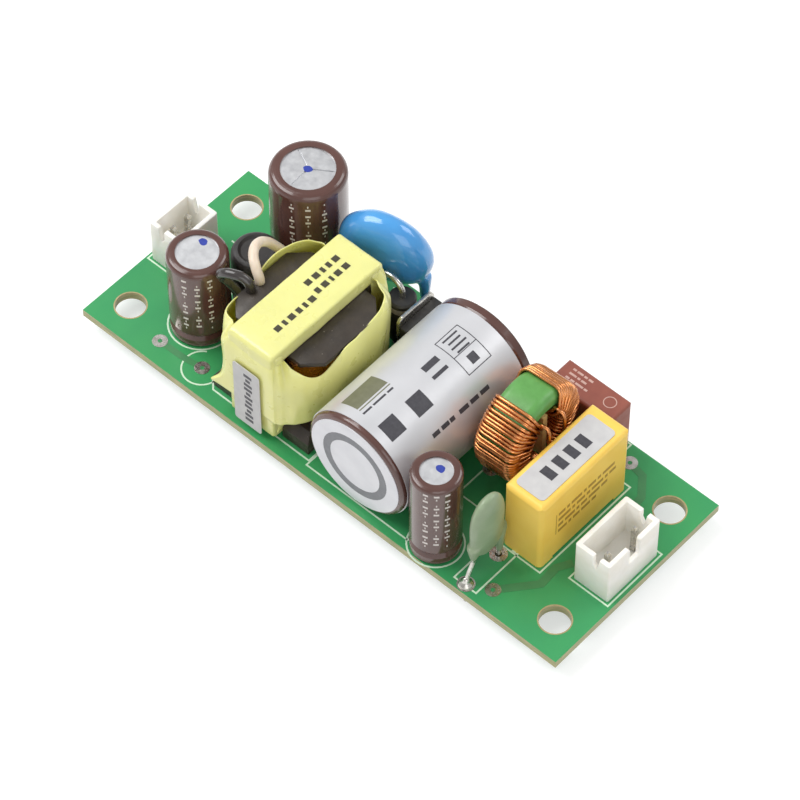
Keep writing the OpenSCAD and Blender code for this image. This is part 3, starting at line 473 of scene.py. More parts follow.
@dataclass(frozen=True)
class Extent:
    """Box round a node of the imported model, in millimetres."""

    low: Vector
    high: Vector

    @classmethod
    def of(cls, node: str) -> Extent:
        """Measure a node by name."""
        low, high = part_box(node)
        return cls(Vector(low) / MM, Vector(high) / MM)

    @property
    def mid(self) -> Vector:
        """Middle of the box."""
        return (self.low + self.high) / 2

    @property
    def size(self) -> Vector:
        """Length of the box's three sides."""
        return self.high - self.low


class Workshop:
    """Turns bmeshes drawn in millimetres into finished pieces of the object."""

    def __init__(self, nodes: dict[str, bpy.types.Object]) -> None:
        """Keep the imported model's nodes and dress them."""
        self.nodes = nodes
        self.palette = Palette()
        self.palette.dress(nodes)

    def copy(self, *names: str) -> bmesh.types.BMesh:
        """Copy nodes into one merged bmesh in millimetres.

        Args:
            names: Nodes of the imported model.

        Returns:
            Bmesh whose loose triangles are joined.
        """
        merged = bmesh.new()
        for name in names:
            merged.from_mesh(self.nodes[name].data)
        bmesh.ops.scale(merged, vec=Vector((1, 1, 1)) / MM, verts=merged.verts)
        bmesh.ops.remove_doubles(merged, verts=merged.verts, dist=0.001)
        return merged

    def piece(
        self,
        name: str,
        shape: bmesh.types.BMesh,
        finish: str | Extra,
        replaces: Sequence[str] = (),
        crease: float = 35.0,
    ) -> bpy.types.Object:
        """Finish a bmesh as an object that rides on the part.

        Args:
            name: Name of the piece.
            shape: Closed bmesh in millimetres, which is used up.
            finish: Slot of the part's record, or one of the extra finishes.
            replaces: Nodes that the piece stands for.
            crease: Angle in degrees above which an edge stays sharp.

        Returns:
            The finished object.
        """
        bmesh.ops.scale(shape, vec=Vector((MM, MM, MM)), verts=shape.verts)
        mesh = bpy.data.meshes.new(name)
        shape.to_mesh(mesh)
        shape.free()
        mesh.polygons.foreach_set("use_smooth", [True] * len(mesh.polygons))
        mesh.set_sharp_from_angle(angle=math.radians(crease))
        made = bpy.data.objects.new(name, mesh)
        bpy.context.scene.collection.objects.link(made)
        is_slot = isinstance(finish, str)
        mesh.materials.append(self.palette.get(SLOT_FINISHES[finish] if is_slot else finish.value))
        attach(made, "root")
        if replaces:
            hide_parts(*replaces)
        LOG.info("%s: %d faces", name, len(mesh.polygons))
        return made

    def softened(
        self, name: str, node: str, finish: str, width: float, segments: int = 2
    ) -> bpy.types.Object:
        """Replace a sharp-edged node by a copy whose edges are broken as moulding breaks them.

        Args:
            name: Name of the new piece.
            node: Node to copy and replace.
            finish: Slot of the finish.
            width: Width of the rounding in millimetres.
            segments: Faces across the rounding.

        Returns:
            The finished object.
        """
        shape = self.copy(node)
        bmesh.ops.dissolve_limit(
            shape, angle_limit=math.radians(1), verts=shape.verts, edges=shape.edges
        )
        sharp = [
            edge
            for edge in shape.edges
            if len(edge.link_faces) == 2 and edge.calc_face_angle(0) > math.radians(40)
        ]
        bmesh.ops.bevel(
            shape, geom=sharp, offset=width, offset_type="OFFSET", affect="EDGES",
            segments=segments, profile=0.5, material=-1, clamp_overlap=True,
        )
        return self.piece(name, shape, finish, [node], 50)


def recalculate(shape: bmesh.types.BMesh) -> bmesh.types.BMesh:
    """Merge doubles, point every face outwards and return the bmesh."""
    bmesh.ops.remove_doubles(shape, verts=shape.verts, dist=1e-4)
    bmesh.ops.recalc_face_normals(shape, faces=shape.faces)
    return shape


def lathe(
    shape: bmesh.types.BMesh, profile: Sequence[Point], centre: Spot = (0, 0, 0), steps: int = 32
) -> None:
    """Spin a profile round an upright axis.

    Args:
        shape: Bmesh that gets the shape.
        profile: Radius and height of each point, from the foot to the top.
        centre: Foot of the axis.
        steps: Faces round the shape.
    """
    foot = Vector(centre)
    verts = [shape.verts.new(foot + Vector((r, 0, z))) for r, z in profile]
    edges = [shape.edges.new(pair) for pair in zip(verts, verts[1:])]
    bmesh.ops.spin(
        shape, geom=verts + edges, cent=foot, axis=(0, 0, 1), dvec=(0, 0, 0),
        angle=math.tau, steps=steps, use_merge=True, use_duplicate=False,
    )


def swept(
    points: Sequence[Spot], radius: float, smooth: bool = True, roundness: int = 3
) -> bmesh.types.BMesh:
    """Sweep a round wire along points.

    Args:
        points: Places that the middle of the wire passes.
        radius: Radius of the wire.
        smooth: Whether the wire curves through the points or is straight between them.
        roundness: Bevel resolution of the curve.

    Returns:
        Closed bmesh of the wire.
    """
    curve = bpy.data.curves.new("wire", "CURVE")
    curve.dimensions = "3D"
    curve.bevel_depth = radius
    curve.bevel_resolution = roundness
    curve.use_fill_caps = True
    curve.resolution_u = 8
    spline = curve.splines.new("BEZIER" if smooth else "POLY")
    if smooth:
        spline.bezier_points.add(len(points) - 1)
        for knot, point in zip(spline.bezier_points, points):
            knot.co = point
            knot.handle_left_type = knot.handle_right_type = "AUTO"
    else:
        spline.points.add(len(points) - 1)
        for knot, point in zip(spline.points, points):
            knot.co = (*point, 1)
    holder = bpy.data.objects.new("wire", curve)
    bpy.context.scene.collection.objects.link(holder)
    mesh = bpy.data.meshes.new_from_object(holder.evaluated_get(bpy.context.evaluated_depsgraph_get()))
    shape = bmesh.new()
    shape.from_mesh(mesh)
    bpy.data.objects.remove(holder)
    bpy.data.curves.remove(curve)
    bpy.data.meshes.remove(mesh)
    return recalculate(shape)


def axes(origin: Sequence[float], across: Spot, upward: Spot) -> Matrix:
    """Build the placing matrix of a flat layout.

    Args:
        origin: Where the layout's zero lies.
        across: Direction of the layout's first axis.
        upward: Direction of its second axis.

    Returns:
        Matrix whose third axis stands off the surface.
    """
    x, y = Vector(across).normalized(), Vector(upward).normalized()
    turn = Matrix((x, y, x.cross(y))).transposed().to_4x4()
    return Matrix.Translation(Vector(origin)) @ turn


class Marks:
    """Print, tracks or pads: flat shapes that are laid out, thickened and put in place."""

    def __init__(self, height: float = 0.03) -> None:
        """Start an empty layout whose shapes will stand this high."""
        self.height = height
        self.shape = bmesh.new()

    def run(self, points: Sequence[Point], width: float, closed: bool = False) -> None:
        """Draw a line of even width with mitred corners.

        Args:
            points: Corners of the line.
            width: Width of the line.
            closed: Whether the last corner joins the first.
        """
        path = [Vector(p) for p in points]
        count = len(path)
        left, right = [], []
        for i, here in enumerate(path):
            ways = []
            if closed or i > 0:
                ways.append((here - path[i - 1]).normalized())
            if closed or i < count - 1:
                ways.append((path[(i + 1) % count] - here).normalized())
            normals = [Vector((-way.y, way.x)) for way in ways]
            mitre = sum(normals, Vector((0, 0))).normalized()
            mitre *= width / 2 / max(mitre.dot(normals[0]), 0.4)
            left.append((here + mitre).to_3d())
            right.append((here - mitre).to_3d())
        verts = [self.shape.verts.new(co) for co in left]
        pairs = zip(verts, verts[1:] + verts[:1]) if closed else zip(verts, verts[1:])
        edges = [self.shape.edges.new(pair) for pair in pairs]
        grown = bmesh.ops.extrude_edge_only(self.shape, edges=edges)["geom"]
        for vert in (g for g in grown if isinstance(g, bmesh.types.BMVert)):
            vert.co = right[min(range(count), key=lambda i: (left[i] - vert.co).length)]

    def bar(self, u: float, v: float, width: float, depth: float, turn: float = 0.0) -> None:
        """Draw a solid bar.

        Args:
            u: First coordinate of its middle.
            v: Second coordinate of its middle.
            width: Length along the first axis.
            depth: Length along the second axis.
            turn: Turn in degrees.
        """
        where = Matrix.Translation((u, v, 0)) @ Matrix.Rotation(math.radians(turn), 4, "Z")
        bmesh.ops.create_grid(
            self.shape, x_segments=1, y_segments=1, size=0.5,
            matrix=where @ Matrix.Diagonal((width, depth, 1, 1)),
        )

    def ring(
        self, u: float, v: float, inner: float, outer: float, start: float = 0.0, sweep: float = 360.0
    ) -> None:
        """Draw a ring or a part of one.

        Args:
            u: First coordinate of its centre.
            v: Second coordinate of its centre.
            inner: Inner radius.
            outer: Outer radius.
            start: Angle in degrees at which it starts.
            sweep: Angle in degrees that it covers.
        """
        a = math.radians(start)
        way = Vector((math.cos(a), math.sin(a), 0))
        centre = Vector((u, v, 0))
        verts = [self.shape.verts.new(centre + way * r) for r in (inner, outer)]
        edge = self.shape.edges.new(verts)
        full = sweep >= 360
        bmesh.ops.spin(
            self.shape, geom=[*verts, edge], cent=centre, axis=(0, 0, 1), dvec=(0, 0, 0),
            angle=math.radians(sweep), steps=max(6, round(sweep / 9)),
            use_merge=full, use_duplicate=False,
        )

    def rows(
        self, u: float, v: float, lengths: Sequence[Sequence[float]], depth: float, pitch: float
    ) -> None:
        """Draw rows of short bars, the plain stand-in for a block of print.

        Args:
            u: Where the rows start.
            v: Middle of the first row.
            lengths: Lengths of the bars in each row.
            depth: Height of a bar.
            pitch: Distance from a row to the next one below.
        """
        for number, row in enumerate(lengths):
            reach = u
            for length in row:
                self.bar(reach + length / 2, v - number * pitch, length, depth)
                reach += length + depth * 0.6

    def thicken(self) -> None:
        """Give the flat shapes their thickness, reaching a little below zero."""
        bmesh.ops.remove_doubles(self.shape, verts=self.shape.verts, dist=1e-4)
        bmesh.ops.solidify(self.shape, geom=self.shape.faces[:], thickness=self.height + SINK)
        low = min(vert.co.z for vert in self.shape.verts)
        bmesh.ops.translate(self.shape, vec=(0, 0, -low - SINK), verts=self.shape.verts)
        bmesh.ops.recalc_face_normals(self.shape, faces=self.shape.faces)

    def flat(self, where: Matrix) -> bmesh.types.BMesh:
        """Put the layout on a flat face and return its bmesh."""
        self.thicken()
        bmesh.ops.transform(self.shape, matrix=where, verts=self.shape.verts)
        return self.shape

    def wrapped(self, radius: float, where: Matrix) -> bmesh.types.BMesh:
        """Bend the layout round a cylinder whose axis is the second axis of the layout.

        Args:
            radius: Radius of the cylinder.
            where: Place of the cylinder, its axis along the matrix's Z axis.

        Returns:
            Bmesh of the bent print.
        """
        reach = max(abs(vert.co.x) for vert in self.shape.verts)
        step = radius * math.radians(6)
        for i in range(-int(reach / step), int(reach / step) + 1):
            bmesh.ops.bisect_plane(
                self.shape, geom=[*self.shape.verts, *self.shape.edges, *self.shape.faces],
                plane_co=(i * step, 0, 0), plane_no=(1, 0, 0),
            )
        self.thicken()
        for vert in self.shape.verts:
            u, v, w = vert.co
            vert.co = (
                (radius + w) * math.cos(u / radius), (radius + w) * math.sin(u / radius), v
            )
        bmesh.ops.transform(self.shape, matrix=where, verts=self.shape.verts)
        bmesh.ops.recalc_face_normals(self.shape, faces=self.shape.faces)
        return self.shape


# ---------------------------------------------------------------- the board


class Face(Enum):
    """The two faces of the board, by the sign of their height."""

    COMPONENT = 1
    SOLDER = -1


@dataclass
class Board:
    """Printed circuit board: its print, its copper under the mask and its tinned pads."""

    shop: Workshop
    line: float = 0.22
    track_height: float = 0.035
    pad_margin: float = 0.45
    test_pad: float = 1.0
    print_gap: float = 0.35
    hole_pitch: Point = (70.7, 21.4)
    hole_d: float = 4.0
    top_tracks: tuple[tuple[float, tuple[Point, ...]], ...] = (
        (1.1, ((27.05, -12.47), (30.76, -7.96), (30.59, -5.0), (31.64, -3.08))),
        (1.0, ((27.22, 12.83), (29.6, 12.4), (31.6, 9.8), (31.9, 3.4))),
        (0.9, ((-28.67, -12.28), (-24.9, -12.2), (-21.84, -11.81))),
        (1.6, ((-31.9, 2.2), (-29.6, 3.4), (-28.9, 8.2))),
    )
    solder_tracks: tuple[tuple[float, tuple[Point, ...]], ...] = (
        (3.0, ((36.35, 2.5), (31.5, 6.5), (26.25, 7.85), (22.74, 10.6), (22.74, 13.05))),
        (2.6, ((36.35, -2.5), (31.5, -5.8), (26.25, -4.65), (24.1, -8.1))),
        (2.4, ((24.07, -14.0), (18.5, -14.0), (14.2, -10.5))),
        (2.2, ((17.66, 13.05), (14.2, 10.2), (14.4, 5.4))),
        (2.4, ((10.0, 11.6), (10.0, 5.2), (9.5, 4.0))),
        (2.4, ((2.5, 11.6), (2.5, 5.0), (5.7, 4.0))),
        (1.4, ((17.4, -10.75), (12.2, -7.4), (5.0, -9.3))),
        (1.6, ((-5.0, -10.1), (-1.2, -10.6), (-1.2, -12.6))),
        (1.8, ((-2.7, 5.81), (-2.7, 1.9), (-5.0, 1.9))),
        (2.2, ((-16.9, -10.1), (-20.4, -8.0), (-21.4, -4.2))),
        (2.6, ((-20.0, 4.8), (-22.0, 5.6), (-27.2, 5.0))),
        (3.2, ((-23.06, 12.0), (-27.5, 11.0), (-34.0, 6.0), (-36.55, 1.25))),
        (3.2, ((-26.8, -8.45), (-31.5, -7.6), (-34.5, -4.6), (-36.55, -1.25))),
        (2.0, ((-24.05, 2.4), (-24.6, 5.0), (-23.06, 7.0))),
        (2.0, ((-24.05, -0.8), (-25.6, -2.9), (-26.8, -4.95))),
    )
    joints: list[tuple[Vector, float]] = field(default_factory=list)

    def build(self) -> None:
        """Make every piece of the board."""
        self.find_joints()
        for face, tracks in ((Face.COMPONENT, self.top_tracks), (Face.SOLDER, self.solder_tracks)):
            self.build_tracks(face, tracks)
            self.build_pads(face)
        self.build_silkscreen()
        self.build_hole_rims()
        self.build_fillet()

    def height(self, face: Face) -> float:
        """Height of one face of the board."""
        board = Extent.of("board")
        return board.high.z if face is Face.COMPONENT else board.low.z

    def where(self, face: Face, lift: float = 0.0) -> Matrix:
        """Place of a flat layout on one face; the layout keeps the board's own X and Y."""
        if face is Face.COMPONENT:
            return Matrix.Translation((0, 0, self.height(face) + lift))
        below = Matrix.Translation((0, 0, self.height(face) - lift))
        return below @ Matrix.Diagonal((1, 1, -1, 1))

    def find_joints(self) -> None:
        """Find the middle and the radius of each solder joint from the joints' own mesh."""
        shape = self.shop.copy("solder_joints")
        unseen = set(shape.verts)
        while unseen:
            group, front = [], [unseen.pop()]
            while front:
                vert = front.pop()
                group.append(vert)
                near = [edge.other_vert(vert) for edge in vert.link_edges]
                fresh = [other for other in near if other in unseen]
                unseen.difference_update(fresh)
                front.extend(fresh)
            low = Vector([min(v.co[i] for v in group) for i in range(2)])
            high = Vector([max(v.co[i] for v in group) for i in range(2)])
            self.joints.append(((low + high) / 2, (high.x - low.x) / 2))
        shape.free()

    def build_tracks(self, face: Face, tracks: Sequence[tuple[float, Sequence[Point]]]) -> None:
        """Raise the copper tracks of one face under the mask."""
        marks = Marks(self.track_height)
        for width, points in tracks:
            marks.run(points, width)
        name = f"masked_tracks_{face.name.lower()}_side"
        self.shop.piece(name, recalculate(marks.flat(self.where(face))), Extra.MASKED_COPPER)

    def build_pads(self, face: Face) -> None:
        """Lay a tinned ring round each lead, and the bare test pads on the component side."""
        marks = Marks(self.track_height + 0.015)
        for centre, radius in self.joints:
            inner = radius - 0.45 if face is Face.COMPONENT else radius - 0.2
            marks.ring(centre.x, centre.y, inner, radius + 0.25)
        if face is Face.COMPONENT:
            for x, y in (p for _, points in self.top_tracks[:3] for p in (points[0], points[-1])):
                if abs(y) > 11:
                    marks.ring(x, y, 0.3, self.test_pad)
        name = f"tinned_pads_{face.name.lower()}_side"
        self.shop.piece(name, recalculate(marks.flat(self.where(face))), "tin")

    def outline(self, marks: Marks, node: str, gap: float) -> None:
        """Draw a rectangle of print round a node's foot."""
        box = Extent.of(node)
        low, high = box.low, box.high
        x = (low.x - gap, high.x + gap)
        edge = Extent.of("board").high.y - self.line
        y = (max(low.y - gap, -edge), min(high.y + gap, edge))
        marks.run([(x[0], y[0]), (x[1], y[0]), (x[1], y[1]), (x[0], y[1])], self.line, True)

    def build_silkscreen(self) -> None:
        """Print the outlines of the components on the component side."""
        marks = Marks(0.02)
        for node in ("ac_header_housing", "dc_header_housing", "film_capacitor_case", "fuse_case"):
            self.outline(marks, node, self.print_gap)
        for node in ("supply", "output", "filter"):
            box = Extent.of(f"{node}_capacitor_sleeve")
            radius = box.size.x / 2 + 0.2
            marks.ring(box.mid.x, box.mid.y, radius, radius + self.line)
        drum = Extent.of("output_inductor")
        marks.ring(drum.mid.x, drum.mid.y, 3.45, 3.45 + self.line)
        marks.ring(-21.84, -11.81, 2.5, 2.5 + self.line, 120, 250)
        marks.run(
            [(-19.6, -12.2), (-18.5, -13.3), (-2.3, -13.3), (-2.3, 4.9), (-19.6, 4.9)],
            self.line, True,
        )
        choke = Extent.of("choke_core")
        x0, x1 = choke.low.x - 0.9, choke.high.x + 0.9
        marks.run([(x0, -4.6), (x1, -4.6), (x1, 11), (x0, 11)], self.line, True)
        can = Extent.of("bulk_capacitor_label")
        foot = (can.low.x - 0.5, can.high.x + 0.5, can.low.y - 0.6)
        marks.run([(foot[0], -8), (foot[0], foot[2]), (foot[1], foot[2]), (foot[1], -8)], self.line)
        drop = Extent.of("thermistor_disc").mid
        for side in (-1, 1):
            x = drop.x + side * 1.75
            marks.run([(x - side * 0.9, -14.2), (x, -14.2), (x, -6.6), (x - side * 0.9, -6.6)], self.line)
        marks.run([(-33.0, 5.4), (-31.4, 5.4)], self.line)
        marks.run([(-32.2, 4.6), (-32.2, 6.2)], self.line)
        for x in (-12.6, -10.2):
            marks.run([(x, 13.6), (x + 1.4, 13.6)], self.line)
        self.shop.piece(
            "silkscreen", recalculate(marks.flat(self.where(Face.COMPONENT))), Extra.SILKSCREEN
        )

    def build_hole_rims(self) -> None:
        """Bare laminate that shows where the mask stops short of each mounting hole."""
        radius = self.hole_d / 2
        for face in Face:
            marks = Marks(0.012)
            for x in (-self.hole_pitch[0] / 2, self.hole_pitch[0] / 2):
                for y in (-self.hole_pitch[1] / 2, self.hole_pitch[1] / 2):
                    marks.ring(x, y, radius, radius + 0.17)
            name = f"hole_rims_{face.name.lower()}_side"
            self.shop.piece(name, recalculate(marks.flat(self.where(face))), Extra.LAMINATE)

    def build_fillet(self) -> None:
        """Solder that climbs the thermistor's front lead on the component side."""
        centre, _ = min(self.joints, key=lambda joint: (joint[0] - Vector((24.07, -14.0))).length)
        shape = bmesh.new()
        profile = [(0.0, -0.02), (0.95, -0.02), (0.98, 0.1), (0.85, 0.32), (0.58, 0.52),
                   (0.42, 0.85), (0.33, 1.25), (0.0, 1.3)]
        lathe(shape, profile, (centre.x, centre.y, self.height(Face.COMPONENT)), 28)
        self.shop.piece("thermistor_solder_fillet", recalculate(shape), "tin", crease=80)


# ---------------------------------------------------------------- headers and box parts


@dataclass
class Headers:
    """The two nylon pin headers, with the edges of their mouldings broken."""

    shop: Workshop
    edge: float = 0.07

    def build(self) -> None:
        """Round the housings and leave their pins as they are."""
        for side in ("ac", "dc"):
            node = f"{side}_header_housing"
            self.shop.softened(f"{side}_header_shell", node, "nylon", self.edge)


@dataclass
class FilmCapacitor:
    """Yellow box capacitor with plain marks on its side and a grey label on top."""

    shop: Workshop
    side_rows: tuple[tuple[float, ...], ...] = (
        (1.2, 0.5, 1.9, 0.5, 1.4, 0.6, 2.2),
        (2.2, 0.5, 1.5, 0.6, 2.1, 0.5, 1.2),
        (0.9, 1.8, 0.5, 1.1, 2.0, 1.1),
        (1.6, 0.5, 1.2, 1.6, 0.8),
    )

    def build(self) -> None:
        """Print the side and the label."""
        case = Extent.of("film_capacitor_case")
        face = axes((case.high.x, case.mid.y, case.mid.z), (0, 1, 0), (0, 0, 1))
        marks = Marks(0.012)
        marks.rows(-4.9, 2.0, self.side_rows, 0.55, 1.15)
        marks.bar(-5.3, 0.3, 0.12, 4.0)
        self.shop.piece("film_capacitor_side_marks", recalculate(marks.flat(face)), Extra.BROWN_INK)
        label = Extent.of("film_capacitor_label")
        top = axes((label.mid.x, label.mid.y, label.high.z), (0, 1, 0), (-1, 0, 0))
        marks = Marks(0.012)
        for i in range(4):
            marks.bar((i - 1.5) * 2.1, 0, 1.25, 2.0)
        self.shop.piece("film_capacitor_label_bars", recalculate(marks.flat(top)), Extra.DARK_INK)


@dataclass
class Fuse:
    """Brown box fuse with pale rows of marks on its top and its front."""

    shop: Workshop
    rows: tuple[tuple[float, ...], ...] = ((0.5, 0.9, 0.5, 0.7), (1.1, 0.4, 0.8), (0.6, 0.6, 1.2, 0.5))

    def build(self) -> None:
        """Print the top and the front."""
        case = Extent.of("fuse_case")
        marks = Marks(0.012)
        marks.rows(-3.6, 1.1, self.rows, 0.3, 0.75)
        marks.ring(3.0, 0.2, 0.75, 0.87)
        top = axes((case.mid.x, case.mid.y, case.high.z), (1, 0, 0), (0, 1, 0))
        self.shop.piece("fuse_top_marks", recalculate(marks.flat(top)), Extra.PALE_INK)
        marks = Marks(0.012)
        marks.rows(-3.9, 2.6, self.rows, 0.32, 0.8)
        front = axes((case.mid.x, case.low.y, case.mid.z), (1, 0, 0), (0, 0, 1))
        self.shop.piece("fuse_front_marks", recalculate(marks.flat(front)), Extra.PALE_INK)


@dataclass
class DippedPart:
    """Part dipped in epoxy, whose coat flows from the body down its legs."""

    shop: Workshop
    node: str
    name: str
    finish: str
    voxel: float = 0.15
    passes: int = 14

    def build(self) -> None:
        """Melt the body and its legs into one smooth coat."""
        shape = self.shop.copy(self.node)
        bmesh.ops.recalc_face_normals(shape, faces=shape.faces)
        mesh = bpy.data.meshes.new("coat")
        shape.to_mesh(mesh)
        shape.free()
        holder = bpy.data.objects.new("coat", mesh)
        bpy.context.scene.collection.objects.link(holder)
        remesh = holder.modifiers.new("flow", "REMESH")
        remesh.mode, remesh.voxel_size = "VOXEL", self.voxel
        settle = holder.modifiers.new("settle", "SMOOTH")
        settle.factor, settle.iterations = 0.5, self.passes
        flowed = bpy.data.meshes.new_from_object(
            holder.evaluated_get(bpy.context.evaluated_depsgraph_get())
        )
        coat = bmesh.new()
        coat.from_mesh(flowed)
        bpy.data.objects.remove(holder)
        for vert in coat.verts:
            ripple = noise.noise(vert.co / 3.1) * 0.09 + noise.noise(vert.co / 1.1) * 0.02
            vert.co += vert.normal * (ripple - 0.03)
        self.shop.piece(self.name, coat, self.finish, [self.node], 80)


# ---------------------------------------------------------------- electrolytic capacitors


@dataclass
class UprightCapacitor:
    """Upright electrolytic capacitor: grey polarity stripe, pale print and an ink spot."""

    shop: Workshop
    name: str
    stripe: tuple[float, float]
    spot: Point
    print_at: float = -48.0

    def build(self) -> None:
        """Print the sleeve and the top of the can."""
        sleeve = Extent.of(f"{self.name}_capacitor_sleeve")
        radius = sleeve.size.x / 2
        tall = sleeve.size.z
        foot = Vector((sleeve.mid.x, sleeve.mid.y, sleeve.low.z))
        low, high = 2.9, tall - radius * 0.2 - 0.1
        middle, width = sum(self.stripe) / 2, self.stripe[1] - self.stripe[0]
        marks = Marks(0.012)
        marks.bar(0, (low + high) / 2, radius * math.radians(width), high - low)
        self.shop.piece(
            f"{self.name}_capacitor_stripe",
            marks.wrapped(radius, self.turned(foot, middle)), Extra.STRIPE_GREY,
        )
        marks = Marks(0.012)
        span = high - low
        for column in (-1, 0, 1):
            u = column * radius * 0.42
            for row in range(int(span / 0.62)):
                if (row * 7 + column * 3) % 5 != 0:
                    marks.bar(u, low + 0.5 + row * 0.62, 0.16 + 0.5 * (row % 2), 0.34)
        self.shop.piece(
            f"{self.name}_capacitor_print",
            marks.wrapped(radius, self.turned(foot, self.print_at)), Extra.WHITE_INK,
        )
        can = Extent.of(f"{self.name}_capacitor_can")
        shape = bmesh.new()
        at = (can.mid.x + self.spot[0], can.mid.y + self.spot[1], can.high.z)
        lathe(shape, [(0.0, -SINK), (0.62, -SINK), (0.6, 0.012), (0.0, 0.014)], at, 20)
        for vert in shape.verts:
            away = vert.co - Vector(at)
            wobble = 1 + 0.22 * noise.noise(away * 2.2 + foot)
            vert.co.x, vert.co.y = at[0] + away.x * wobble, at[1] + away.y * wobble * 0.85
        self.shop.piece(f"{self.name}_capacitor_ink_spot", recalculate(shape), Extra.BLUE_INK)

    @staticmethod
    def turned(foot: Vector, azimuth: float) -> Matrix:
        """Place of a wrapped layout whose zero faces an azimuth in degrees."""
        return Matrix.Translation(foot) @ Matrix.Rotation(math.radians(azimuth), 4, "Z")


@dataclass
class ReservoirCapacitor:
    """Large capacitor on its side in a silver label, with plain fields where print would be."""

    shop: Workshop

    def build(self) -> None:
        """Print the label round the can and the disc on its end."""
        label = Extent.of("bulk_capacitor_label")
        radius = label.size.x / 2
        # The layout's first axis runs round the can from its top towards the mains header,
        # its second axis from the front end to the rear.
        turn = Matrix(((0, 1, 0), (0, 0, 1), (1, 0, 0))).to_4x4()
        where = Matrix.Translation((label.mid.x, label.low.y, label.mid.z)) @ turn
        self.shop.piece("reservoir_patch", self.patch().wrapped(radius, where), Extra.OLIVE_INK)
        self.shop.piece("reservoir_fields", self.fields().wrapped(radius, where), Extra.DARK_INK)
        end = Extent.of("bulk_capacitor_end_label")
        face = axes((end.mid.x, end.low.y, end.mid.z), (1, 0, 0), (0, 0, 1))
        marks = Marks(0.015)
        marks.ring(0, 0, 4.0, 5.15)
        self.shop.piece("reservoir_end_ring", recalculate(marks.flat(face)), Extra.GREY_INK)

    def patch(self) -> Marks:
        """Solid olive field with a rule beside it."""
        marks = Marks(0.015)
        marks.bar(-3.1, 4.2, 2.9, 5.4)
        marks.bar(-1.3, 4.2, 0.16, 5.4)
        return marks

    def fields(self) -> Marks:
        """Dark solid fields, a plain frame with a divider and thin rows."""
        marks = Marks(0.015)
        for v in (2.6, 7.4):
            marks.bar(3.1, v, 2.6, 2.6)
        marks.bar(0.4, 12.3, 0.9, 2.6)
        marks.bar(2.0, 12.3, 0.5, 2.6)
        marks.run([(-1.2, 14.9), (4.6, 14.9), (4.6, 18.9), (-1.2, 18.9)], 0.12, True)
        marks.run([(1.9, 14.9), (1.9, 18.9)], 0.1)
        for i in range(4):
            marks.bar(-0.6 + i * 0.75, 16.9, 0.26, 2.6 - 0.5 * (i % 2))
        marks.bar(3.3, 16.9, 1.3, 1.3)
        for v, length in ((6.2, 1.2), (7.8, 1.3), (9.3, 0.8), (11.0, 1.6), (13.0, 1.4), (14.8, 1.5)):
            marks.bar(7.3, v + length / 2, 0.6, length)
        for v, length in ((1.4, 1.5), (3.2, 2.2), (5.7, 1.0)):
            marks.bar(-0.6, v + length / 2, 0.28, length)
        return marks


# ---------------------------------------------------------------- common-mode choke


@dataclass
class Choke:
    """Two windings of enamelled wire on the coated ring."""

    shop: Workshop
    yaw: float = 3.0
    outer: float = 6.6
    inner: float = 3.7
    thick: float = 5.4
    edge: float = 0.8
    wire: float = 0.5
    turns: int = 31
    gap: float = 19.0
    lead_top: Point = (4.5, 1.5)
    lead_low: Point = (-3.4, 2.3)

    def build(self) -> None:
        """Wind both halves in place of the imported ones."""
        middle = Extent.of("choke_core").mid
        drop = middle.z - Extent.of("choke_front_winding").low.z
        turn = Matrix.Rotation(math.radians(self.yaw), 4, "Z")
        for side, name in ((-1, "front"), (1, "back")):
            route = [turn @ Vector(p) + middle for p in self.route(side, drop)]
            shape = swept(route, self.wire / 2, smooth=False, roundness=1)
            self.shop.piece(
                f"choke_{name}_wire", shape, "enamelled_copper", [f"choke_{name}_winding"], 80
            )

    def section(self, layer: int) -> list[Point]:
        """Outline of one turn round the ring's section, as radius and height along the axis.

        Args:
            layer: 1 for a turn that climbs over its neighbours in the crowded bore.
        """
        bend = self.edge + self.wire / 2
        points = []
        for corner in range(4):
            outside = corner in (0, 3)
            push = 0.0 if outside else layer * self.wire * 0.9
            radius = self.outer - self.edge if outside else self.inner + self.edge - push
            lift = (self.thick / 2 - self.edge + push) * (1 if corner < 2 else -1)
            for step in range(4):
                a = math.radians(corner * 90 + step * 30)
                points.append((radius + bend * math.cos(a), lift + bend * math.sin(a)))
        return points

    def route(self, side: int, drop: float) -> list[Spot]:
        """Lay one winding and its two ends, in the ring's own axes.

        Args:
            side: -1 for the front half and 1 for the back half.
            drop: Distance from the ring's middle to the cut tips.

        Returns:
            Points along the wire.
        """
        rng = random.Random(11 + side)
        start = 90 - side * self.gap
        sweep = -side * (180 - 2 * self.gap)
        each = 16
        last = self.turns * each
        drift = [rng.uniform(-0.22, 0.22) for _ in range(self.turns + 2)]
        proud = [rng.uniform(0.0, 0.07) for _ in range(self.turns + 2)]
        coil = []
        for i in range(4, last - 3):
            turn, share = i // each, i % each / each
            radius, height = self.section((i + 2) // each % 2)[i % each]
            slip = drift[turn] * (1 - share) + drift[turn + 1] * share
            lift = 1 + (proud[turn] * (1 - share) + proud[turn + 1] * share) / self.outer
            a = math.radians(start + sweep * (i + slip * each) / last)
            coil.append((height * lift, radius * lift * math.cos(a), radius * lift * math.sin(a)))
        (tx, ty), (lx, ly) = self.lead_top, self.lead_low
        first, end = coil[0], coil[-1]
        lead_in = [(tx, side * ty, -drop), (tx, side * ty, 2.0), (tx, side * ty, first[2] - 0.9),
                   (tx - 0.3, side * ty, first[2] - 0.2)]
        lead_out = [(lx - 0.1, end[1], end[2] - 0.7), (lx, side * ly, end[2] - 1.7),
                    (lx, side * ly, -drop)]
        return lead_in + coil + lead_out


# ---------------------------------------------------------------- transformer


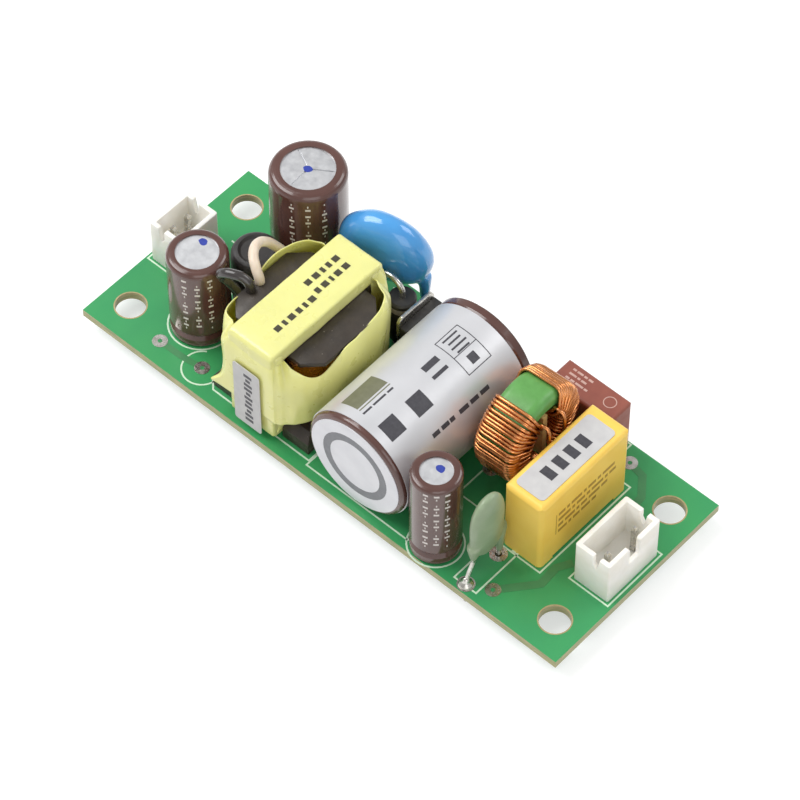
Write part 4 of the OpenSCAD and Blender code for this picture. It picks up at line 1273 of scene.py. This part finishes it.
@dataclass
class Transformer:
    """Ferrite transformer in yellow tape, with its label and its two flying leads."""

    shop: Workshop
    end_half: float = 4.25
    side_reach: float = 8.3
    bulge: float = 3.4
    belt_thick: float = 0.22
    levels: int = 14
    around: int = 128
    lip: float = 1.95
    flap: Spot = (-7.4, -10.9, 5.4)
    sleeve_d: float = 1.3
    wire_d: float = 0.8
    black_route: tuple[Spot, ...] = (
        (-17.7, -6.7, 14.5), (-17.7, -6.7, 14.9), (-18.6, -6.8, 16.1), (-20.0, -7.4, 16.4),
        (-21.3, -7.7, 15.8), (-22.1, -7.4, 14.4), (-21.9, -6.2, 12.0), (-21.6, -4.9, 8.5),
        (-21.4, -4.3, 5.0), (-21.4, -4.2, 2.0),
    )
    cream_route: tuple[Spot, ...] = (
        (-17.8, -5.0, 14.5), (-17.8, -5.0, 14.9), (-18.8, -4.6, 16.2), (-20.1, -3.6, 16.7),
        (-21.0, -2.0, 16.4), (-21.1, -0.5, 15.4), (-20.7, 1.1, 13.2), (-20.2, 2.9, 9.8),
        (-20.0, 4.4, 6.0), (-20.0, 4.8, 2.0),
    )

    def build(self) -> None:
        """Make the tapes, the marks, the softened core and the leads."""
        tape = Extent.of("transformer_winding_tape")
        self.centre = Vector((tape.mid.x, tape.mid.y, 0))
        self.low, self.tall, self.half = tape.low.z, tape.size.z, tape.size.y / 2
        self.build_belt()
        self.build_band()
        self.build_marks()
        self.shop.softened("transformer_bobbin_moulding", "transformer_bobbin", "bobbin_plastic", 0.1)
        for half in ("upper", "lower"):
            self.shop.softened(
                f"transformer_{half}_ground_core", f"transformer_{half}_core", "ferrite", 0.1
            )
        self.build_lead("black", self.black_route, "black_sleeving")
        self.build_lead("white", self.cream_route, "white_sleeving")

    def outline(self, share: float) -> Vector:
        """Point on the belt's outline, seen from above and measured from its centre.

        Args:
            share: Way round from 0 to 1, starting at the front right corner.
        """
        side, end = 0.36, 0.14
        lap = share % 1.0
        flip = 1 if lap < 0.5 else -1
        lap = lap % 0.5
        if lap < side:
            t = math.sin((lap / side * 2 - 1) * math.pi / 2)
            swell = (self.side_reach - self.end_half) * (1 - abs(t) ** self.bulge)
            return Vector((self.end_half + swell, self.half * t, 0)) * flip
        t = 1 - 2 * (lap - side) / end
        return Vector((self.end_half * t, self.half, 0)) * flip

    def rim(self, spot: Vector) -> float:
        """Height of the belt's upper rim over its nominal height, at a spot of its outline."""
        t = spot.y / self.half
        if spot.x > 0:
            scoop = -3.1 * math.exp(-(((t + 0.52) / 0.3) ** 2)) - 0.9 * math.exp(-(((t - 0.2) / 0.3) ** 2))
            return scoop + 0.5 * math.exp(-(((t - 0.95) / 0.12) ** 2))
        notch = -1.5 * math.exp(-(((t + 0.25) / 0.22) ** 2))
        return notch + 0.7 * math.exp(-(((t - 0.45) / 0.4) ** 2))

    def build_belt(self) -> None:
        """Wrap the tape round the winding: a tall belt, pleated in at its four upper corners."""
        shape = bmesh.new()
        ring = bmesh.ops.create_circle(shape, segments=self.around, radius=1)["verts"]
        shape.verts.ensure_lookup_table()
        ring.sort(key=lambda vert: math.atan2(vert.co.y, vert.co.x))
        outline = [self.outline(i / self.around) for i in range(self.around)]
        for vert, spot in zip(ring, outline):
            vert.co = spot
        shares = {i: i / self.around for i in range(self.around)}
        loops = [shape.edges[:]]
        for level in range(self.levels):
            grown = bmesh.ops.extrude_edge_only(shape, edges=loops[-1])["geom"]
            fresh = [g for g in grown if isinstance(g, bmesh.types.BMVert)]
            bmesh.ops.translate(shape, vec=(0, 0, 1), verts=fresh)
            loops.append([g for g in grown if isinstance(g, bmesh.types.BMEdge)])
        for vert in shape.verts:
            near = min(range(self.around), key=lambda i: (outline[i] - Vector((vert.co.x, vert.co.y, 0))).length)
            vert.co = self.belt_place(outline[near], shares[near], vert.co.z / self.levels)
        bmesh.ops.recalc_face_normals(shape, faces=shape.faces)
        made = self.shop.piece(
            "transformer_tape_belt", shape, "film_tape", ["transformer_winding_tape"], 80
        )
        wall = made.modifiers.new("wall", "SOLIDIFY")
        wall.thickness, wall.offset = self.belt_thick * MM, -1
        soft = made.modifiers.new("soft", "SUBSURF")
        soft.levels = soft.render_levels = 1

    def belt_place(self, spot: Vector, share: float, level: float) -> Vector:
        """Place one point of the belt.

        Args:
            spot: Its point on the plain outline.
            share: Way round the belt.
            level: Height from 0 at the lower rim to 1 at the upper one.

        Returns:
            The point with the belt's sag, creases, pleats and flap.
        """
        t = abs(spot.y) / self.half
        outward = Vector((spot.x / self.side_reach, spot.y / self.half * 0.5, 0)).normalized()
        corner = math.exp(-(((t - 0.9) / 0.1) ** 2)) * min(1.0, max(0.0, (abs(spot.x) - 3.9) / 0.8))
        top = max(0.0, (level - 0.72) / 0.28)
        z = self.low + level * (self.tall + self.rim(spot))
        waist = 0.35 * math.sin(math.pi * level) * (1 - t**4) * (1 if spot.x > 0 else 0.6)
        pleat = math.sin(share * math.tau * 34) * corner * (0.12 + 0.45 * top)
        fold_in = corner * top**1.5 * 2.1 + top**3 * 0.35 * (1 - corner)
        flat_end = 1.0 if abs(spot.x) > self.end_half - 0.01 else 0.15
        lay = Vector((spot.x / 2.4, spot.y / 2.4, z / 6.5))
        crease = (noise.noise(lay) * 0.3 + noise.noise(lay * 2.3) * 0.12) * flat_end
        place = self.centre + spot + outward * (waist * 0.6 - 0.25 + pleat - fold_in + crease)
        place.z = z + corner * top * 0.4 * math.sin(share * math.tau * 34 + 1)
        pull = Vector(self.flap) - Vector((spot.x, spot.y, z))
        near = math.exp(-((spot.x + 4.6) ** 2 + (spot.y + 10.3) ** 2) / 2.6 - (pull.z / 2.2) ** 2)
        return place + Vector((pull.x, pull.y * 0.35, pull.z * 0.4)) * near * 0.85

    def build_band(self) -> None:
        """Fold the tape band over the core: it turns down over both sides of the core's back."""
        band = Extent.of("transformer_core_tape")
        shape = bmesh.new()
        bmesh.ops.create_cube(shape, size=1, matrix=Matrix.Translation(band.mid) @ Matrix.Diagonal((*band.size, 1)))
        along = [e for e in shape.edges if abs((e.verts[0].co - e.verts[1].co).x) > 1]
        bmesh.ops.bevel(
            shape, geom=along, offset=0.75, offset_type="OFFSET", affect="EDGES",
            segments=4, profile=0.5, material=-1,
        )
        sides = [f for f in shape.faces if abs(f.normal.x) > 0.9]
        around = list({edge for face in sides for edge in face.edges})
        bmesh.ops.bevel(
            shape, geom=around, offset=0.3, offset_type="OFFSET", affect="EDGES",
            segments=3, profile=0.5, material=-1,
        )
        sides = [f for f in shape.faces if abs(f.normal.x) > 0.99]
        bmesh.ops.inset_region(shape, faces=sides, thickness=self.lip, use_even_offset=True)
        inner = [f for f in shape.faces if abs(f.normal.x) > 0.99 and len(f.verts) > 6]
        bmesh.ops.delete(shape, geom=inner, context="FACES")
        long_edges = [e for e in shape.edges if e.calc_length() > 1.2]
        bmesh.ops.subdivide_edges(shape, edges=long_edges, cuts=9, use_grid_fill=True)
        for vert in shape.verts:
            vert.co += vert.normal * (noise.noise(vert.co / 1.7) * 0.06 - 0.02)
            vert.co.x += 0.05 * noise.noise(vert.co / 0.9)
        bmesh.ops.recalc_face_normals(shape, faces=shape.faces)
        made = self.shop.piece(
            "transformer_tape_band", shape, "film_tape", ["transformer_core_tape"], 60
        )
        wall = made.modifiers.new("wall", "SOLIDIFY")
        wall.thickness, wall.offset = 0.12 * MM, -1

    def build_marks(self) -> None:
        """Short plain bars on the band's top and on the front label."""
        band = Extent.of("transformer_core_tape")
        marks = Marks(0.02)
        marks.rows(-6.4, -1.0, ((0.9, 0.5, 0.9, 0.7, 0.5, 0.9),), 0.85, 1)
        marks.rows(1.2, 1.1, ((0.9, 0.9, 0.5, 0.6, 0.9),), 0.85, 1)
        marks.rows(1.2, -0.6, ((0.7, 0.9, 0.4, 0.9, 0.9),), 0.85, 1)
        top = axes((band.mid.x, band.mid.y, band.high.z), (0, 1, 0), (-1, 0, 0))
        self.shop.piece("transformer_band_bars", recalculate(marks.flat(top)), Extra.BLACK_INK)
        label = Extent.of("transformer_label")
        marks = Marks(0.012)
        for i, depth in enumerate((0.7, 0.4, 0.7, 0.7, 0.4, 0.7, 0.55, 0.7, 0.4, 0.7, 0.7)):
            marks.bar((i - 5) * 0.88, 0.25, 0.55, depth * 1.9)
        front = axes((label.mid.x, label.low.y, label.mid.z), (0, 0, -1), (1, 0, 0))
        self.shop.piece("transformer_label_bars", recalculate(marks.flat(front)), Extra.DARK_INK)

    def build_lead(self, colour: str, route: Sequence[Spot], finish: str) -> None:
        """Run one flying lead in its sleeve to the board, with its bare end in the hole.

        Args:
            colour: Colour in the node's name.
            route: Points along the sleeve above the board.
            finish: Slot of the sleeve's finish.
        """
        lift = Extent.of("board").high.z
        path = [(x, y, z + lift) for x, y, z in route]
        node = f"transformer_{colour}_lead"
        sleeve = swept(path, self.sleeve_d / 2, roundness=4)
        self.shop.piece(f"transformer_{colour}_sleeve", sleeve, finish, [node], 50)
        foot = path[-1]
        tip = (foot[0], foot[1], Extent.of(node).low.z)
        bare = swept([(foot[0], foot[1], foot[2] + 0.4), tip], self.wire_d / 2, False)
        self.shop.piece(f"transformer_{colour}_lead_end", bare, "tin", crease=50)


# ---------------------------------------------------------------- small parts


@dataclass
class SmallParts:
    """Marks and broken edges of the diode, the transistor, the chips and the ferrite pieces."""

    shop: Workshop

    def build(self) -> None:
        """Add the diode's band, the pin-one dots and the softened mouldings."""
        body = Extent.of("snubber_diode_body")
        radius = body.size.x / 2
        shape = bmesh.new()
        foot = (body.mid.x, body.mid.y, body.high.z - 1.7)
        lathe(shape, [(radius - 0.05, 0), (radius + 0.015, 0), (radius + 0.015, 0.9),
                      (radius - 0.05, 0.9), (radius - 0.05, 0)], foot, 48)
        self.shop.piece("snubber_diode_band", recalculate(shape), Extra.STRIPE_GREY)
        self.shop.softened(
            "power_transistor_moulding", "power_transistor_body", "moulded_black", 0.08
        )
        self.shop.softened("power_transistor_tab", "power_transistor_frame", "tin", 0.06)
        for node in ("controller_ic", "optocoupler", "bridge_rectifier"):
            chip = Extent.of(node)
            dot = Marks(0.012)
            dot.ring(chip.low.x + 0.9, chip.low.y + 0.9, 0.0, 0.3)
            under = Matrix.Translation((0, 0, chip.low.z)) @ Matrix.Diagonal((1, 1, -1, 1))
            self.shop.piece(f"{node}_pin_dot", recalculate(dot.flat(under)), Extra.STRIPE_GREY)


# ---------------------------------------------------------------- the studio


@dataclass
class Studio:
    """Plain pale floor, soft lamps and the camera."""

    azimuth: float = 42.016
    elevation: float = 53.797
    lens: float = 184.48
    target: Spot = (0.582, 0.721, 508.315)
    board_thick: float = 1.2

    def build(self, ground: float) -> None:
        """Set the scene round the object.

        Args:
            ground: Height of the lowest point of the object, in millimetres.
        """
        bpy.context.scene.view_settings.view_transform = "Standard"
        self.build_world()
        self.build_floor(ground)
        self.build_lamp("key_lamp", (-0.30, -0.10, 0.42), 0.34, 2.1)
        self.build_lamp("rear_lamp", (0.18, 0.42, 0.36), 0.28, 0.9)
        self.build_lamp("fill_lamp", (0.42, -0.34, 0.26), 0.40, 0.8)
        self.build_camera()

    def build_world(self) -> None:
        """Even pale light from all round, which the camera sees as white."""
        world = bpy.data.worlds.new("studio")
        bpy.context.scene.world = world
        world.use_nodes = True
        tree = world.node_tree
        tree.nodes.clear()
        sees = add(tree, "ShaderNodeLightPath").outputs["Is Camera Ray"]
        soft = add(tree, "ShaderNodeBackground", None, {"Color": (1, 1, 1, 1), "Strength": 0.62})
        white = add(tree, "ShaderNodeBackground", None, {"Color": (1, 1, 1, 1), "Strength": 1.0})
        both = add(tree, "ShaderNodeMixShader", None, {0: sees, 1: soft.outputs[0], 2: white.outputs[0]})
        add(tree, "ShaderNodeOutputWorld", None, {"Surface": both.outputs[0]})

    def build_floor(self, ground: float) -> None:
        """Lay a floor that looks white where it is open and keeps the object's shadow."""
        shape = bmesh.new()
        bmesh.ops.create_grid(
            shape, x_segments=1, y_segments=1, size=1.5,
            matrix=Matrix.Translation((0, 0, (ground - 0.02) * MM)),
        )
        mesh = bpy.data.meshes.new("floor")
        shape.to_mesh(mesh)
        shape.free()
        floor = bpy.data.objects.new("floor", mesh)
        bpy.context.scene.collection.objects.link(floor)
        paper = bpy.data.materials.new("white_paper_sweep")
        paper.use_nodes = True
        tree = paper.node_tree
        tree.nodes.clear()
        sheet = add(tree, "ShaderNodeBsdfDiffuse", None, {"Color": linear("#c4c4c4")})
        path = add(tree, "ShaderNodeLightPath").outputs
        seen = add(tree, "ShaderNodeMath", {"operation": "ADD"}, {0: path["Is Camera Ray"], 1: path["Is Glossy Ray"]})
        both = add(tree, "ShaderNodeMath", {"operation": "ADD"}, {0: seen.outputs[0], 1: path["Is Transmission Ray"]})
        glow = add(tree, "ShaderNodeMath", {"operation": "MULTIPLY"}, {0: both.outputs[0], 1: 0.55})
        lit = add(tree, "ShaderNodeEmission", None, {"Color": (1, 1, 1, 1), "Strength": glow.outputs[0]})
        total = add(tree, "ShaderNodeAddShader", None, {0: sheet.outputs[0], 1: lit.outputs[0]})
        add(tree, "ShaderNodeOutputMaterial", None, {"Surface": total.outputs[0]})
        mesh.materials.append(paper)

    def build_lamp(self, name: str, place: Spot, size: float, power: float) -> None:
        """Hang one soft square lamp that faces the object.

        Args:
            name: Name of the lamp.
            place: Where it hangs, in metres.
            size: Length of its side in metres.
            power: Power in watts.
        """
        lamp = bpy.data.lights.new(name, "AREA")
        lamp.shape, lamp.size, lamp.energy = "SQUARE", size, power
        holder = bpy.data.objects.new(name, lamp)
        holder.location = place
        holder.rotation_euler = Vector(place).to_track_quat("Z", "Y").to_euler()
        bpy.context.scene.collection.objects.link(holder)

    def build_camera(self) -> None:
        """Look down at the board from its mains header's corner with a long lens."""
        az, el = math.radians(self.azimuth), math.radians(self.elevation)
        right = Vector((math.cos(az), math.sin(az), 0))
        back = Vector((math.sin(az) * math.cos(el), -math.cos(az) * math.cos(el), math.sin(el)))
        up = back.cross(right)
        across, above, away = self.target
        place = right * across + up * above + back * away + Vector((0, 0, self.board_thick))
        lens = bpy.data.cameras.new("camera")
        lens.lens, lens.sensor_width, lens.clip_start, lens.clip_end = self.lens, 36, 0.01, 10
        camera = bpy.data.objects.new("camera", lens)
        turn = Matrix((right, up, back)).transposed().to_4x4()
        camera.matrix_world = Matrix.Translation(place * MM) @ turn
        bpy.context.scene.collection.objects.link(camera)
        bpy.context.scene.camera = camera


def clear_scene() -> None:
    """Remove whatever the start-up scene holds."""
    for thing in list(bpy.data.objects):
        bpy.data.objects.remove(thing, do_unlink=True)


def main() -> None:
    """Build the looks of the power supply and its studio, one piece after another."""
    logging.basicConfig(level=logging.INFO, format="%(name)s: %(message)s")
    clear_scene()
    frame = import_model()
    shop = Workshop(frame["nodes"])
    Studio().build(Extent.of("solder_joints").low.z - 1.1)
    for part in (
        Board(shop),
        Headers(shop),
        FilmCapacitor(shop),
        Fuse(shop),
        DippedPart(shop, "thermistor_disc", "thermistor_coat", "thermistor_coat"),
        DippedPart(shop, "disc_capacitor_body", "disc_capacitor_coat", "disc_coat", 0.2, 24),
        UprightCapacitor(shop, "supply", (52, 104), (0.1, 0.6)),
        UprightCapacitor(shop, "output", (160, 214), (-0.6, 1.75)),
        UprightCapacitor(shop, "filter", (50, 108), (0.0, 0.0)),
        ReservoirCapacitor(shop),
        Choke(shop),
        Transformer(shop),
        SmallParts(shop),
    ):
        part.build()
        LOG.info("%s is dressed", type(part).__name__)


if __name__ == "__main__":
    main()
